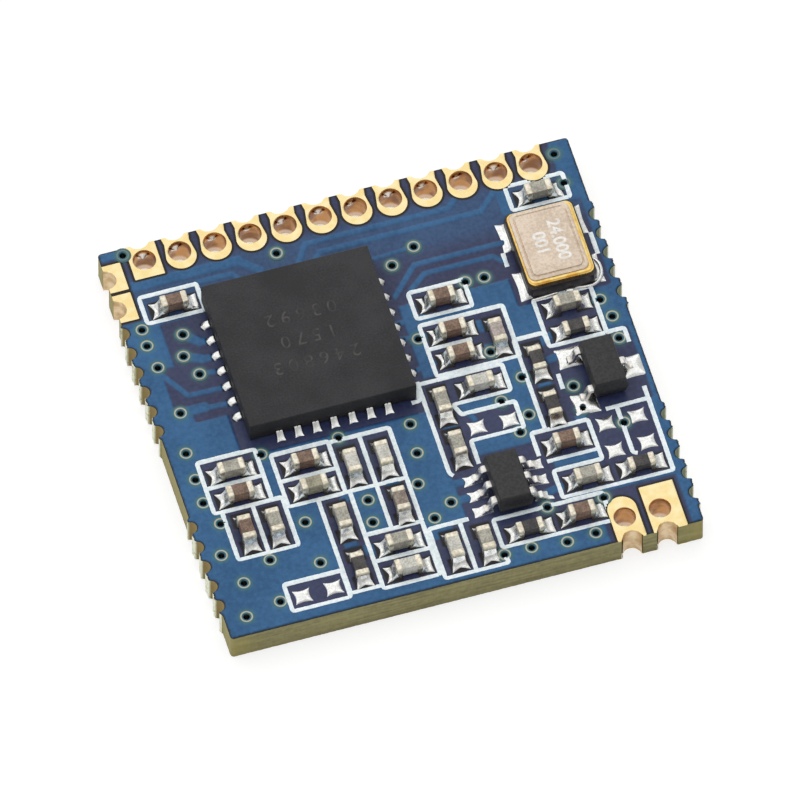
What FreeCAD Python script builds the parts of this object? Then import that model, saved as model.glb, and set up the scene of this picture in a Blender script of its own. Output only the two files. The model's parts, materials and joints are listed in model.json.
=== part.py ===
import FreeCAD, Part
import math
import os

from FreeCAD import Vector

os.makedirs("parts", exist_ok=True)

# A long-range radio module: a small two-sided circuit board with plated pads on its
# edges and surface-mount parts on its top face. Millimetres, +Z up. The origin is under
# the board's centre, on the plane that its lowest pads rest on. +X runs along the
# row of twelve pads, which is on the back edge, and -Y is the front.

# The board: a glass-fibre laminate with a thin lacquer on both faces. Its outline follows
# from the edge pads: their insets, and the room left beside the back row
BOARD_T = 1.14
CORNER_R = 0.15
ROW_END = 1.515

# What is left of the four break-off tabs on the left and right edges, from back end to
# front end, each perforated by a row of bites
LEFT_TABS = ((5.20, 0.27), (-3.00, -7.20))
RIGHT_TABS = ((5.50, 0.98), (-3.10, -7.58))
TAB_OUT = 0.10
BITE_R = 0.25
BITE_PITCH = 0.83
BITE_END = 0.35
BITE_OUT = 0.08
BITE_SIDES = 8

# The row of twelve plated pads on the back edge
PAD_PITCH = 1.27
HEADER_COUNT = 12
HEADER_Y = 7.53
HEADER_HOLE_R = 0.40
HEADER_INSET = 0.67
HEADER_NOTCH_R = 0.42
HEADER_NOTCH_OUT = 0.24
HEADER_LAND_R = 0.54
HEADER_LAND_DROP = 0.19
WAIST_HALF = 0.45
WAIST_INSET = 0.28
HORN_HALF = 0.50

# Copper: how far the lands stand off the board, and the wall of a plated hole
LAND_T = 0.03
PLATING_T = 0.03
SEAT_SIDES = 12

# The two half-hole pads on the left edge
SIDE_COUNT = 2
SIDE_DROP = 0.43
SIDE_LAND_L = 0.67
SIDE_LAND_W = 1.14
SIDE_NOTCH_R = 0.36

# The two pads on the front edge, for the aerial and its ground
FRONT_HOLE_R = 0.38
FRONT_NOTCH_R = 0.34
FRONT_HOLE_Y = -7.29
FRONT_INSET = 0.91
AERIAL_INSET = 2.58
AERIAL_LAND_HALF = 0.52
AERIAL_LAND_TOP = 0.32
GROUND_LAND_LEFT = 0.49
GROUND_LAND_RIGHT = 0.73
GROUND_LAND_TOP = 1.91

# Plated through-holes that only join the two faces
VIA_HOLE_R = 0.12
VIA_SIDES = 6

# Solder and land together under the parts
SOLDER_T = 0.05

# The radio chip: a flat leadless package with seven terminals a side
CHIP_X = -2.58
CHIP_Y = 2.38
CHIP_SIDE = 6.0
CHIP_H = 0.85
CHIP_PER_SIDE = 7
CHIP_PITCH = 0.65
TERMINAL_W = 0.30
TERMINAL_L = 0.40
TERMINAL_H = 0.20
CHIP_PAD_SIDE = 4.2
CHIP_LAND_OUT = 0.30

# The crystal: a ceramic tub, a gold-plated seal ring and a metal lid
CRYSTAL_X = 6.56
CRYSTAL_Y = 3.78
CRYSTAL_W = 2.50
CRYSTAL_D = 3.20
CRYSTAL_BASE_H = 0.50
CRYSTAL_CORNER_CUT = 0.15
CRYSTAL_CORNER_R = 0.25
RING_INSET = 0.07
RING_H = 0.12
RING_WALL = 0.30
LID_INSET = 0.13
LID_H = 0.08
LID_PANEL_INSET = 0.14
LID_PANEL_H = 0.05
CRYSTAL_LAND_OUT = 0.30
CRYSTAL_LAND_W = 1.24
CRYSTAL_LAND_L = 0.90
CRYSTAL_LAND_PITCH = 2.08
CRYSTAL_FILLET_H = 0.12

# The two moulded packages with bent leads
SOT_W = 1.25
SOT_D = 2.05
SOT_H = 0.90
SOT_STAND = 0.08
SOT_DRAFT = 0.07
SOT_SPAN = 2.10
SOT_FOOT_L = 0.26
SOT_ROOT = 0.20
LEAD_T = 0.13
LEAD_W = 0.26
LEAD_PITCH = 0.65
SWITCH_X = 2.39
SWITCH_Y = -5.02
SWITCH_LAND_W = 0.42
SWITCH_LAND_OUT = 0.42
TRANSISTOR_X = 6.89
TRANSISTOR_Y = -1.47
TRANSISTOR_LAND_W = 0.94
TRANSISTOR_LAND_OUT = 0.42
TRANSISTOR_LAND_SHIFT = 0.30

# Chip parts with two end caps: length, width, cap length and the step from cap to body
CHIP_PART_L = 1.00
CHIP_PART_W = 0.50
CAP_L = 0.24
CAP_STEP = 0.02
CAPACITOR_H = 0.50
INDUCTOR_H = 0.48
RESISTOR_H = 0.35
LAND_REACH = 0.85
LAND_START = 0.30
LAND_W = 0.62
FILLET_SHARE = 0.62

# Tinned lands with nothing fitted on them
SPARE_W = 0.60
SPARE_D = 0.56
SPARE_H = 0.12
SPARE_INSET = 0.18

# The printed outlines
PRINT_T = 0.02
PRINT_W = 0.14
PRINT_GAP = 0.05

# Where the chip parts lie: centre, and the axis along which their two ends point
CAPACITORS = (
    (-6.54, 5.41, "x"), (6.87, 6.23, "x"), (2.39, 2.99, "x"), (2.38, 1.62, "x"),
    (2.38, 0.60, "x"), (3.83, 1.03, "y"), (1.18, -1.16, "y"), (1.19, -2.99, "y"),
    (6.50, 1.55, "x"), (4.87, -3.84, "x"), (5.15, -5.44, "x"), (4.52, -6.79, "x"),
    (-6.57, -1.70, "x"), (-6.55, -2.70, "x"), (-6.76, -4.21, "y"), (-5.75, -4.22, "y"),
    (-4.02, -2.07, "x"), (-4.02, -3.14, "x"), (-1.34, -4.62, "y"), (-3.46, -4.70, "y"),
    (-1.84, -6.16, "x"), (1.02, -6.98, "y"),
)
INDUCTORS = (
    (2.68, -0.74, "x"), (-2.50, -2.64, "y"), (-1.37, -2.64, "y"), (-1.84, -7.22, "x"),
    (-0.09, -6.94, "y"),
)
RESISTORS = (
    (6.52, 0.53, "x"), (4.84, -0.36, "y"), (4.82, -2.29, "y"), (7.08, -5.44, "x"),
    (2.64, -6.87, "x"), (-3.44, -6.68, "y"),
)

# Tinned lands left empty
SPARES = (
    (6.39, -3.45), (7.53, -3.46), (6.39, -4.59), (7.56, -4.58),
    (2.09, -2.34), (3.24, -2.37), (-5.64, -7.21), (-4.52, -7.19),
)

# Plated through-holes
VIAS = (
    (-7.66, 7.91), (7.86, 7.65), (7.85, 6.41), (-2.53, 6.48), (2.10, 5.38), (1.16, 4.85),
    (-7.88, 4.78), (-7.90, 4.10), (-6.58, 4.20), (-6.81, 3.33), (-7.79, 3.14), (3.40, 3.48),
    (4.08, 3.47), (-6.48, 2.48), (1.17, 1.70), (7.66, 1.46), (-7.57, 1.13), (7.87, 0.68),
    (3.42, 0.48), (7.84, -0.24), (-7.85, -0.50), (4.16, -0.82), (-5.38, -1.28), (-2.63, -1.38),
    (3.19, -1.56), (-0.09, -1.56), (-7.84, -1.62), (5.76, -1.68), (3.95, -2.36), (-7.85, -2.61),
    (5.80, -2.64), (-0.20, -2.76), (3.46, -2.96), (-7.52, -3.59), (7.00, -3.60), (-0.53, -3.98),
    (-2.37, -4.12), (-4.70, -4.36), (-7.86, -4.84), (0.35, -5.02), (-2.47, -5.03), (-6.30, -5.49),
    (-0.38, -5.48), (-4.67, -6.09), (-7.43, -6.13), (3.47, -6.16), (5.45, -6.34), (-6.44, -7.21),
    (-7.73, -7.47), (1.50, -7.59), (2.48, -7.58), (4.77, -7.64), (3.73, -7.71),
)

# Printed frames round the parts: left, right, front and back line centres
FRAMES = (
    (-7.62, -5.55, 4.97, 6.08), (5.82, 7.90, 5.82, 6.84), (1.36, 3.36, 2.48, 3.60),
    (1.35, 4.35, 0.03, 2.20), (5.43, 7.50, 0.11, 2.09), (0.65, 3.64, -1.22, 0.03),
    (1.72, 3.64, -2.81, -1.69), (4.31, 5.38, -3.04, 0.71), (3.80, 5.84, -4.37, -3.19),
    (4.10, 8.10, -5.92, -4.77), (6.94, 8.10, -5.92, -2.84), (1.57, 5.45, -7.30, -6.14),
    (-0.72, 1.57, -7.94, -5.86), (-7.61, -5.54, -3.15, -1.00), (-7.34, -5.18, -5.18, -3.15),
    (-5.08, -3.02, -3.60, -1.42), (-3.02, -0.84, -3.60, -1.48), (-4.02, -2.88, -7.58, -3.60),
    (-2.88, -0.84, -7.72, -5.46), (-6.14, -4.06, -7.72, -6.60),
)

# Single printed lines: the two ends of each
LINES = (
    (1.35, 1.18, 2.95, 1.18), (0.63, 0.03, 0.63, -3.95), (-7.61, -2.10, -5.54, -2.10),
    (-6.25, -3.15, -6.25, -5.18), (-5.08, -2.54, -3.02, -2.54), (-1.92, -1.48, -1.92, -5.46),
    (-0.84, -3.60, -0.84, -5.46), (-2.88, -6.58, -0.84, -6.58), (0.40, -5.86, 0.40, -7.94),
    (4.98, 3.66, 4.98, 4.24), (8.14, 3.28, 8.14, 4.20), (7.50, 0.11, 8.13, 0.11),
    (8.13, 0.11, 8.13, -0.49), (1.72, -2.81, 1.72, -3.79), (0.42, -0.62, 0.63, -0.02),
)

DECK = LAND_T + BOARD_T
TOP = DECK + LAND_T
SEAT = DECK + SOLDER_T
HEADER_XS = [PAD_PITCH * (i - (HEADER_COUNT - 1) / 2) for i in range(HEADER_COUNT)]
BACK = HEADER_Y + HEADER_INSET
FRONT = FRONT_HOLE_Y - FRONT_INSET
LEFT = HEADER_XS[0] - ROW_END
RIGHT = HEADER_XS[-1] + ROW_END
SIDE_YS = [HEADER_Y - SIDE_DROP - PAD_PITCH * i for i in range(SIDE_COUNT)]
AERIAL_X = RIGHT - AERIAL_INSET
GROUND_X = AERIAL_X + PAD_PITCH


def save(node, shapes):
    """One file for a node that is one solid or a group of like solids."""
    solids = [solid for shape in shapes for solid in shape.Solids]
    whole = solids[0] if len(solids) == 1 else Part.makeCompound(solids)
    whole.exportStep("parts/" + node + ".step")


def block(x0, x1, y0, y1, z0, z1):
    """A box between two corners."""
    return Part.makeBox(x1 - x0, y1 - y0, z1 - z0, Vector(x0, y0, z0))


def block_at(x, y, w, d, z0, z1):
    """A box centred on x, y."""
    return block(x - w / 2, x + w / 2, y - d / 2, y + d / 2, z0, z1)


def drum(x, y, r, z0, z1):
    """An upright cylinder."""
    return Part.makeCylinder(r, z1 - z0, Vector(x, y, z0))


def prism(corners, push):
    """A straight-sided outline, pushed along a vector."""
    return Part.Face(Part.makePolygon(corners + [corners[0]])).extrude(push)


def rounded_block(x, y, w, d, r, z0, z1):
    """A box with rounded upright edges."""
    box = block_at(x, y, w, d, z0, z1)
    upright = [e for e in box.Edges if abs(e.tangentAt(e.FirstParameter).z) > 0.9]
    return box.makeFillet(r, upright)


def post(x, y, r, sides, z0, z1):
    """An upright prism with a few flat sides, each at r from its axis."""
    reach = r / math.cos(math.pi / sides)
    turns = [2 * math.pi * (i + 0.5) / sides for i in range(sides)]
    corners = [Vector(x + reach * math.cos(a), y + reach * math.sin(a), z0) for a in turns]
    return prism(corners, Vector(0, 0, z1 - z0))


def tapered(x, y, w, d, levels):
    """A block with flat sides that change direction at each level: height and inset."""
    rows = []
    for z, inset in levels:
        a, b = w / 2 - inset, d / 2 - inset
        rows.append([Vector(x + i * a, y + j * b, z) for i, j in ((-1, -1), (1, -1), (1, 1), (-1, 1))])
    outlines = [rows[0][::-1], rows[-1]]
    for low, high in zip(rows, rows[1:]):
        for i in range(4):
            outlines.append([low[i - 1], low[i], high[i], high[i - 1]])
    faces = [Part.Face(Part.makePolygon(o + [o[0]])) for o in outlines]
    return Part.Solid(Part.Shell(faces))


def joined(shapes):
    """Several touching solids as one, with no seams left."""
    whole = shapes[0].fuse(shapes[1:]) if len(shapes) > 1 else shapes[0]
    return whole.removeSplitter()


def directions(axis):
    """The unit vectors along and across a part that lies along x or y."""
    return (Vector(1, 0, 0), Vector(0, 1, 0)) if axis == "x" else (Vector(0, 1, 0), Vector(-1, 0, 0))


# Edge pads. A land on each face, a plated barrel between them and a plated notch
# in the board's edge. The copper of all four is one piece.
def header_land(x, square, z0, z1):
    """The outline of a back-row land: round below, waisted by its hole, with two horns at the edge."""
    drop = HEADER_Y - HEADER_LAND_DROP
    r = HEADER_LAND_R
    if square:
        return block(x - r, x + r, drop - r, BACK, z0, z1)
    left = [Vector(x - HORN_HALF, BACK, z0), Vector(x - WAIST_HALF, BACK - WAIST_INSET, z0)]
    left.append(Vector(x - r, drop, z0))
    right = [Vector(2 * x - p.x, p.y, z0) for p in reversed(left)]
    arc = Part.Arc(left[-1], Vector(x, drop - r, z0), right[0]).toShape()
    sides = [Part.makeLine(a, b) for a, b in zip(left, left[1:])]
    sides += [arc]
    sides += [Part.makeLine(a, b) for a, b in zip(right, right[1:])]
    sides += [Part.makeLine(right[-1], left[0])]
    return Part.Face(Part.Wire(sides)).extrude(Vector(0, 0, z1 - z0))


def side_land(y, z0, z1):
    """A left-edge land: a plain rectangle."""
    return block(LEFT, LEFT + SIDE_LAND_L, y - SIDE_LAND_W / 2, y + SIDE_LAND_W / 2, z0, z1)


def aerial_land(square, z0, z1):
    """The aerial's land: parallel sides and a round inner end, or a square one underneath."""
    half = AERIAL_LAND_HALF
    shoulder = FRONT_HOLE_Y + AERIAL_LAND_TOP
    if square:
        return block(AERIAL_X - half, AERIAL_X + half, FRONT, shoulder + half, z0, z1)
    stem = block(AERIAL_X - half, AERIAL_X + half, FRONT, shoulder, z0, z1)
    return joined([stem, drum(AERIAL_X, shoulder, half, z0, z1)])


def ground_land(z0, z1):
    """The ground land beside it: a plain rectangle."""
    x0 = GROUND_X - GROUND_LAND_LEFT
    x1 = GROUND_X + GROUND_LAND_RIGHT
    return block(x0, x1, FRONT, FRONT + GROUND_LAND_TOP, z0, z1)


def edge_pad(top_land, bottom_land, holes):
    """A pad from its two lands and its holes: each is centre x, y and radius."""
    board = block(LEFT, RIGHT, FRONT, BACK, LAND_T, DECK)
    sleeves = [post(x, y, r + PLATING_T, SEAT_SIDES, LAND_T, DECK).common(board) for x, y, r in holes]
    openings = [drum(x, y, r, 0, TOP) for x, y, r in holes]
    return joined([top_land, bottom_land] + sleeves).cut(openings)


header_holes = [(x, HEADER_Y, HEADER_HOLE_R) for x in HEADER_XS]
header_notches = [(x, BACK + HEADER_NOTCH_OUT, HEADER_NOTCH_R) for x in HEADER_XS]
side_notches = [(LEFT, y, SIDE_NOTCH_R) for y in SIDE_YS]
front_holes = [(x, FRONT_HOLE_Y, FRONT_HOLE_R) for x in (AERIAL_X, GROUND_X)]
front_notches = [(x, FRONT, FRONT_NOTCH_R) for x in (AERIAL_X, GROUND_X)]

header_pads = []
for i, x in enumerate(HEADER_XS):
    top_land = header_land(x, i == 0, DECK, TOP)
    bottom_land = header_land(x, True, 0, LAND_T)
    header_pads.append(edge_pad(top_land, bottom_land, [header_holes[i], header_notches[i]]))
save("header_pads", header_pads)

side_pads = []
for y, notch in zip(SIDE_YS, side_notches):
    side_pads.append(edge_pad(side_land(y, DECK, TOP), side_land(y, 0, LAND_T), [notch]))
save("side_pads", side_pads)

aerial_lands = aerial_land(False, DECK, TOP), aerial_land(True, 0, LAND_T)
aerial_pad = edge_pad(*aerial_lands, [front_holes[0], front_notches[0]])
save("aerial_pad", [aerial_pad])
ground_pad = edge_pad(ground_land(DECK, TOP), ground_land(0, LAND_T), [front_holes[1], front_notches[1]])
save("ground_pad", [ground_pad])


# The board. Its outline is the rectangle and the stubs of four break-off tabs.
def bites(tabs, x, z0, z1):
    """The perforations along one edge's tabs, in a row down the middle of each."""
    found = []
    for back, front in tabs:
        steps = int((back - front - 2 * BITE_END) / BITE_PITCH)
        first = (back + front + BITE_PITCH * steps) / 2
        found += [post(x, first - BITE_PITCH * i, BITE_R, BITE_SIDES, z0, z1) for i in range(steps + 1)]
    return found


middle = (LEFT + RIGHT) / 2, (FRONT + BACK) / 2
board = rounded_block(*middle, RIGHT - LEFT, BACK - FRONT, CORNER_R, LAND_T, DECK)
stubs = [block(LEFT - TAB_OUT, LEFT + CORNER_R, front, back, LAND_T, DECK) for back, front in LEFT_TABS]
stubs += [block(RIGHT - CORNER_R, RIGHT + TAB_OUT, front, back, LAND_T, DECK) for back, front in RIGHT_TABS]
perforations = bites(LEFT_TABS, LEFT - BITE_OUT, LAND_T, DECK)
perforations += bites(RIGHT_TABS, RIGHT + BITE_OUT, LAND_T, DECK)
board = joined([board] + stubs).cut(perforations)
plated = header_holes + header_notches + side_notches + front_holes + front_notches
board = board.cut([post(x, y, r + PLATING_T, SEAT_SIDES, LAND_T, DECK) for x, y, r in plated])
board = board.cut([post(x, y, VIA_HOLE_R, VIA_SIDES, LAND_T, DECK) for x, y in VIAS])
save("circuit_board", [board])


# Chip parts: a fired ceramic body with a metal cap on each end, and a solder joint at each cap.
def chip_part(x, y, axis, height):
    """Two end caps on a body that is a little slimmer."""
    along, across = directions(axis)

    def piece(length, width, inset, shift, z0, z1):
        centre = Vector(x, y, 0) + along * shift
        w = abs(along.x) * length + abs(across.x) * width
        d = abs(along.y) * length + abs(across.y) * width
        return block_at(centre.x, centre.y, w, d, z0 + inset, z1 - inset)

    top = SEAT + height
    body = piece(CHIP_PART_L - CAP_L, CHIP_PART_W - 2 * CAP_STEP, CAP_STEP, 0, SEAT, top)
    shift = (CHIP_PART_L - CAP_L) / 2
    caps = [piece(CAP_L, CHIP_PART_W, 0, s * shift, SEAT, top) for s in (-1, 1)]
    return joined([body] + caps)


def joint(x, y, along, across, start, face, reach, width, height, under):
    """Solder on a land: thin under the part, then a slope down from the part's end face."""
    profile = [(start, 0), (reach, 0), (face, height), (face, under), (start, under)]
    edge = Vector(x, y, DECK) - across * (width / 2)
    corners = [edge + along * u + Vector(0, 0, h) for u, h in profile]
    return prism(corners, across * width)


def chip_joints(x, y, axis, height):
    """The two joints of one chip part."""
    along, across = directions(axis)
    face = CHIP_PART_L / 2
    rise = SOLDER_T + FILLET_SHARE * height
    found = []
    for s in (-1, 1):
        found.append(joint(x, y, along * s, across, LAND_START, face, LAND_REACH, LAND_W, rise, SOLDER_T))
    return found


chip_solder = []
for name, places, height in (
    ("capacitor", CAPACITORS, CAPACITOR_H),
    ("inductor", INDUCTORS, INDUCTOR_H),
    ("resistor", RESISTORS, RESISTOR_H),
):
    for i, (x, y, axis) in enumerate(places):
        save("%s_%02d" % (name, i + 1), [chip_part(x, y, axis, height)])
        chip_solder += chip_joints(x, y, axis, height)
save("chip_part_solder", chip_solder)

spare_lands = []
for x, y in SPARES:
    spare_lands.append(tapered(x, y, SPARE_W, SPARE_D, [(DECK, 0), (DECK + SPARE_H, SPARE_INSET)]))
save("spare_lands", spare_lands)


# The radio chip: a moulded body over a lead frame, whose terminals end flush with its sides.
def chip_sides():
    """Outward and sideways unit vectors of the four sides."""
    return [(Vector(math.cos(a), math.sin(a), 0), Vector(-math.sin(a), math.cos(a), 0))
            for a in (0, math.pi / 2, math.pi, 3 * math.pi / 2)]


def terminal_places():
    """The foot of each terminal on its side of the body, with the side's vectors."""
    centre = Vector(CHIP_X, CHIP_Y, 0)
    for out, along in chip_sides():
        for i in range(CHIP_PER_SIDE):
            shift = CHIP_PITCH * (i - (CHIP_PER_SIDE - 1) / 2)
            yield centre + out * (CHIP_SIDE / 2) + along * shift, out, along


terminals = []
terminal_solder = []
for foot, out, along in terminal_places():
    start = foot + Vector(0, 0, SEAT) - along * (TERMINAL_W / 2)
    corners = [start, start - out * TERMINAL_L]
    corners += [p + Vector(0, 0, TERMINAL_H) for p in reversed(corners)]
    terminals.append(prism(corners, along * TERMINAL_W))
    terminal_solder.append(joint(foot.x, foot.y, out, along, -TERMINAL_L, 0, CHIP_LAND_OUT,
                                 TERMINAL_W, SOLDER_T + TERMINAL_H, SOLDER_T))
heat_pad = block_at(CHIP_X, CHIP_Y, CHIP_PAD_SIDE, CHIP_PAD_SIDE, SEAT, SEAT + TERMINAL_H)
terminals.append(heat_pad)
terminal_solder.append(block_at(CHIP_X, CHIP_Y, CHIP_PAD_SIDE, CHIP_PAD_SIDE, DECK, SEAT))
chip_body = block_at(CHIP_X, CHIP_Y, CHIP_SIDE, CHIP_SIDE, SEAT, SEAT + CHIP_H)
save("radio_chip_body", [chip_body.cut(terminals)])
save("radio_chip_terminals", terminals)
save("radio_chip_solder", terminal_solder)


# The crystal in its can.
def crystal_layer(inset, r, z0, z1):
    """One rounded layer of the crystal, smaller than its base by an inset."""
    return rounded_block(CRYSTAL_X, CRYSTAL_Y, CRYSTAL_W - 2 * inset, CRYSTAL_D - 2 * inset, r, z0, z1)


base_top = SEAT + CRYSTAL_BASE_H
ring_top = base_top + RING_H
lid_inset = RING_INSET + LID_INSET
panel_inset = lid_inset + LID_PANEL_INSET
base = block_at(CRYSTAL_X, CRYSTAL_Y, CRYSTAL_W, CRYSTAL_D, SEAT, base_top)
upright = [e for e in base.Edges if abs(e.tangentAt(e.FirstParameter).z) > 0.9]
save("crystal_base", [base.makeChamfer(CRYSTAL_CORNER_CUT, upright)])
ring = crystal_layer(RING_INSET, CRYSTAL_CORNER_R, base_top, ring_top)
inside = RING_INSET + RING_WALL
ring_hole = block_at(CRYSTAL_X, CRYSTAL_Y, CRYSTAL_W - 2 * inside, CRYSTAL_D - 2 * inside, base_top, ring_top)
save("crystal_seal_ring", [ring.cut(ring_hole)])
lid = crystal_layer(lid_inset, CRYSTAL_CORNER_R, ring_top, ring_top + LID_H)
panel = crystal_layer(panel_inset, CRYSTAL_CORNER_R, ring_top + LID_H, ring_top + LID_H + LID_PANEL_H)
save("crystal_lid", [joined([lid, panel])])

crystal_solder = []
for sx in (-1, 1):
    for sy in (-1, 1):
        y = CRYSTAL_Y + sy * CRYSTAL_LAND_PITCH / 2
        half = CRYSTAL_W / 2
        crystal_solder.append(joint(CRYSTAL_X, y, Vector(sx, 0, 0), Vector(0, 1, 0),
                                    half + CRYSTAL_LAND_OUT - CRYSTAL_LAND_L, half,
                                    half + CRYSTAL_LAND_OUT, CRYSTAL_LAND_W, CRYSTAL_FILLET_H, SOLDER_T))
save("crystal_solder", crystal_solder)


# Moulded packages with leads that leave half way up the sides and bend down to their lands.
def sot_body(x, y):
    """A block that tapers both ways from its parting line."""
    low = SEAT + SOT_STAND
    high = SEAT + SOT_H
    return tapered(x, y, SOT_W, SOT_D, [(low, SOT_DRAFT), ((low + high) / 2, 0), (high, SOT_DRAFT)])


def sot_lead(x, y, sign):
    """One gull-wing lead: a root in the body, a shoulder, a leg and a foot."""
    middle = SEAT + (SOT_STAND + SOT_H) / 2
    root = SOT_W / 2 - SOT_ROOT
    leg = SOT_SPAN / 2 - SOT_FOOT_L
    tip = SOT_SPAN / 2
    upper = middle + LEAD_T / 2
    lower = middle - LEAD_T / 2
    ankle = SEAT + LEAD_T
    profile = [(root, lower), (leg - LEAD_T, lower), (leg - LEAD_T, SEAT + LEAD_T / 2)]
    profile += [(leg - LEAD_T / 2, SEAT), (tip, SEAT), (tip, ankle), (leg, ankle)]
    profile += [(leg, upper - LEAD_T / 2), (leg - LEAD_T / 2, upper), (root, upper)]
    corners = [Vector(x + sign * u, y - LEAD_W / 2, z) for u, z in profile]
    return prism(corners, Vector(0, LEAD_W, 0))


def sot_package(name, x, y, leads, land_w, land_out, land_shift):
    """Body, leads and joints: each lead is its side's sign and its place in pitches."""
    metal = [sot_lead(x, y + LEAD_PITCH * row, sign) for sign, row in leads]
    save(name + "_body", [sot_body(x, y).cut(metal)])
    save(name + "_leads", metal)
    tip = SOT_SPAN / 2
    solder = []
    for sign, row in leads:
        land_y = y + LEAD_PITCH * row + land_shift * row
        solder.append(joint(x, land_y, Vector(sign, 0, 0), Vector(0, 1, 0), tip - SOT_FOOT_L,
                            tip, tip + land_out, land_w, SOLDER_T + LEAD_T / 2, SOLDER_T))
    save(name + "_solder", solder)
    return solder


switch_solder = sot_package("aerial_switch", SWITCH_X, SWITCH_Y,
                            [(s, row) for s in (-1, 1) for row in (-1, 0, 1)],
                            SWITCH_LAND_W, SWITCH_LAND_OUT, 0)
transistor_solder = sot_package("transistor", TRANSISTOR_X, TRANSISTOR_Y, [(-1, -1), (-1, 1), (1, 0)],
                                TRANSISTOR_LAND_W, TRANSISTOR_LAND_OUT, TRANSISTOR_LAND_SHIFT)


# The printed outlines on the mask, broken wherever a land or a hole lies under them.
def stroke(x0, y0, x1, y1):
    """One printed line with square ends."""
    length = math.hypot(x1 - x0, y1 - y0)
    along = Vector((x1 - x0) / length, (y1 - y0) / length, 0)
    across = Vector(-along.y, along.x, 0) * (PRINT_W / 2)
    start = Vector(x0, y0, DECK) - along * (PRINT_W / 2)
    end = Vector(x1, y1, DECK) + along * (PRINT_W / 2)
    return prism([start - across, end - across, end + across, start + across], Vector(0, 0, PRINT_T))


def clearance(shape):
    """The box of a land on the board, grown by the print's gap."""
    box = shape.BoundBox
    return block(box.XMin - PRINT_GAP, box.XMax + PRINT_GAP, box.YMin - PRINT_GAP, box.YMax + PRINT_GAP,
                 DECK, DECK + PRINT_T)


strokes = [stroke(*line) for line in LINES]
for x0, x1, y0, y1 in FRAMES:
    strokes += [stroke(x0, y0, x1, y0), stroke(x0, y1, x1, y1)]
    strokes += [stroke(x0, y0, x0, y1), stroke(x1, y0, x1, y1)]
occupied = chip_solder + spare_lands + terminal_solder + crystal_solder + switch_solder + transistor_solder
occupied += header_pads + [aerial_pad, ground_pad]
gaps = [clearance(shape) for shape in occupied]
gaps += [post(x, y, VIA_HOLE_R, VIA_SIDES, DECK, DECK + PRINT_T) for x, y in VIAS]
save("printed_outlines", [joined(strokes).cut(gaps)])
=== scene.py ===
"""A long-range radio module dressed for its photograph: a small blue circuit board with
plated pads on its edges, a leadless radio chip, a crystal and tiny chip parts."""
import json

import bpy
import numpy as np
from mathutils import Matrix, Vector


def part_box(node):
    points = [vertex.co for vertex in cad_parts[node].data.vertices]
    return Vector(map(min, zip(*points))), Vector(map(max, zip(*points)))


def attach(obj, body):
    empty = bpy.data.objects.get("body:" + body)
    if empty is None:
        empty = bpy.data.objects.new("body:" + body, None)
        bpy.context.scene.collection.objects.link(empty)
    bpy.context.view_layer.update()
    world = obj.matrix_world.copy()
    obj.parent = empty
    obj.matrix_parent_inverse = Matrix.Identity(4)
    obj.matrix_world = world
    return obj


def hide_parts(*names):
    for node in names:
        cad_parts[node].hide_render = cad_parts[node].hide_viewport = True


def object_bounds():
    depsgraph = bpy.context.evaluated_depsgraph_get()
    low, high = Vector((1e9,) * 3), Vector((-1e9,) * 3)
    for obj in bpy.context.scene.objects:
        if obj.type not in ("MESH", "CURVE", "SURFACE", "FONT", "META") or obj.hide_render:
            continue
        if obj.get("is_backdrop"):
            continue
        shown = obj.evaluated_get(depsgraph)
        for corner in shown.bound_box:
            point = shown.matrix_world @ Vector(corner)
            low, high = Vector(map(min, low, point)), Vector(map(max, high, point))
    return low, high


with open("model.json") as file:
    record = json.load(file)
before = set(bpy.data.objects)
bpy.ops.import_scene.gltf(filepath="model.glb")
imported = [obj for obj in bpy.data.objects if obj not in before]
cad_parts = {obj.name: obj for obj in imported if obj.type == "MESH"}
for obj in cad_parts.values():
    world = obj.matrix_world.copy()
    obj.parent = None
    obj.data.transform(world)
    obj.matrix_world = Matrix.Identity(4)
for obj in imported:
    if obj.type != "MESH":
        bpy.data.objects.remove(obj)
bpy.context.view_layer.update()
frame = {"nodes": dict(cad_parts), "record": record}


# The view: the module lies flat and a long lens looks down at it from its front left.
LENS_AWAY = 1.2
SENSOR_W = 36.0
VIEW_W = 0.02764
AZIMUTH = np.radians(-16.6)
ELEVATION = np.radians(57.6)
AIM = Vector((-0.000107, -0.000375, 0.000977))

back = Vector((np.sin(AZIMUTH) * np.cos(ELEVATION), -np.cos(AZIMUTH) * np.cos(ELEVATION), np.sin(ELEVATION)))
across = Vector((np.cos(AZIMUTH), np.sin(AZIMUTH), 0))
lens = bpy.data.cameras.new("camera")
lens.sensor_width = SENSOR_W
lens.lens = SENSOR_W * LENS_AWAY / VIEW_W
camera = bpy.data.objects.new("camera", lens)
camera.matrix_world = Matrix((across, back.cross(across), back)).transposed().to_4x4()
camera.location = AIM + back * LENS_AWAY
bpy.context.scene.collection.objects.link(camera)
bpy.context.scene.camera = camera
bpy.context.scene.view_settings.view_transform = "Standard"


# The studio: a white sweep under a wide overhead cloth that hangs a little behind the
# module, with the dimmer room in front of it. The sweep and the room look white to the lens.
class Value:
    """A number or colour inside a finish. Plain arithmetic on it adds the Math nodes."""

    def __init__(self, finish, socket):
        self.finish = finish
        self.socket = socket

    def maths(self, operation, *values):
        """The Math node of an operation on values, which may be plain numbers."""
        return self.finish.node("ShaderNodeMath", {"operation": operation}, dict(enumerate(values)))

    def __add__(self, other):
        return self.maths("ADD", self, other)

    def __rsub__(self, other):
        return self.maths("SUBTRACT", other, self)

    def __mul__(self, other):
        return self.maths("MULTIPLY", self, other)

    __radd__ = __add__
    __rmul__ = __mul__

    def steps(self, low, high):
        """0 below low, 1 above high and a smooth rise between them."""
        ends = {"From Min": low, "From Max": high, "Value": self}
        return self.finish.node("ShaderNodeMapRange", {"interpolation_type": "SMOOTHSTEP"}, ends)


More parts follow.
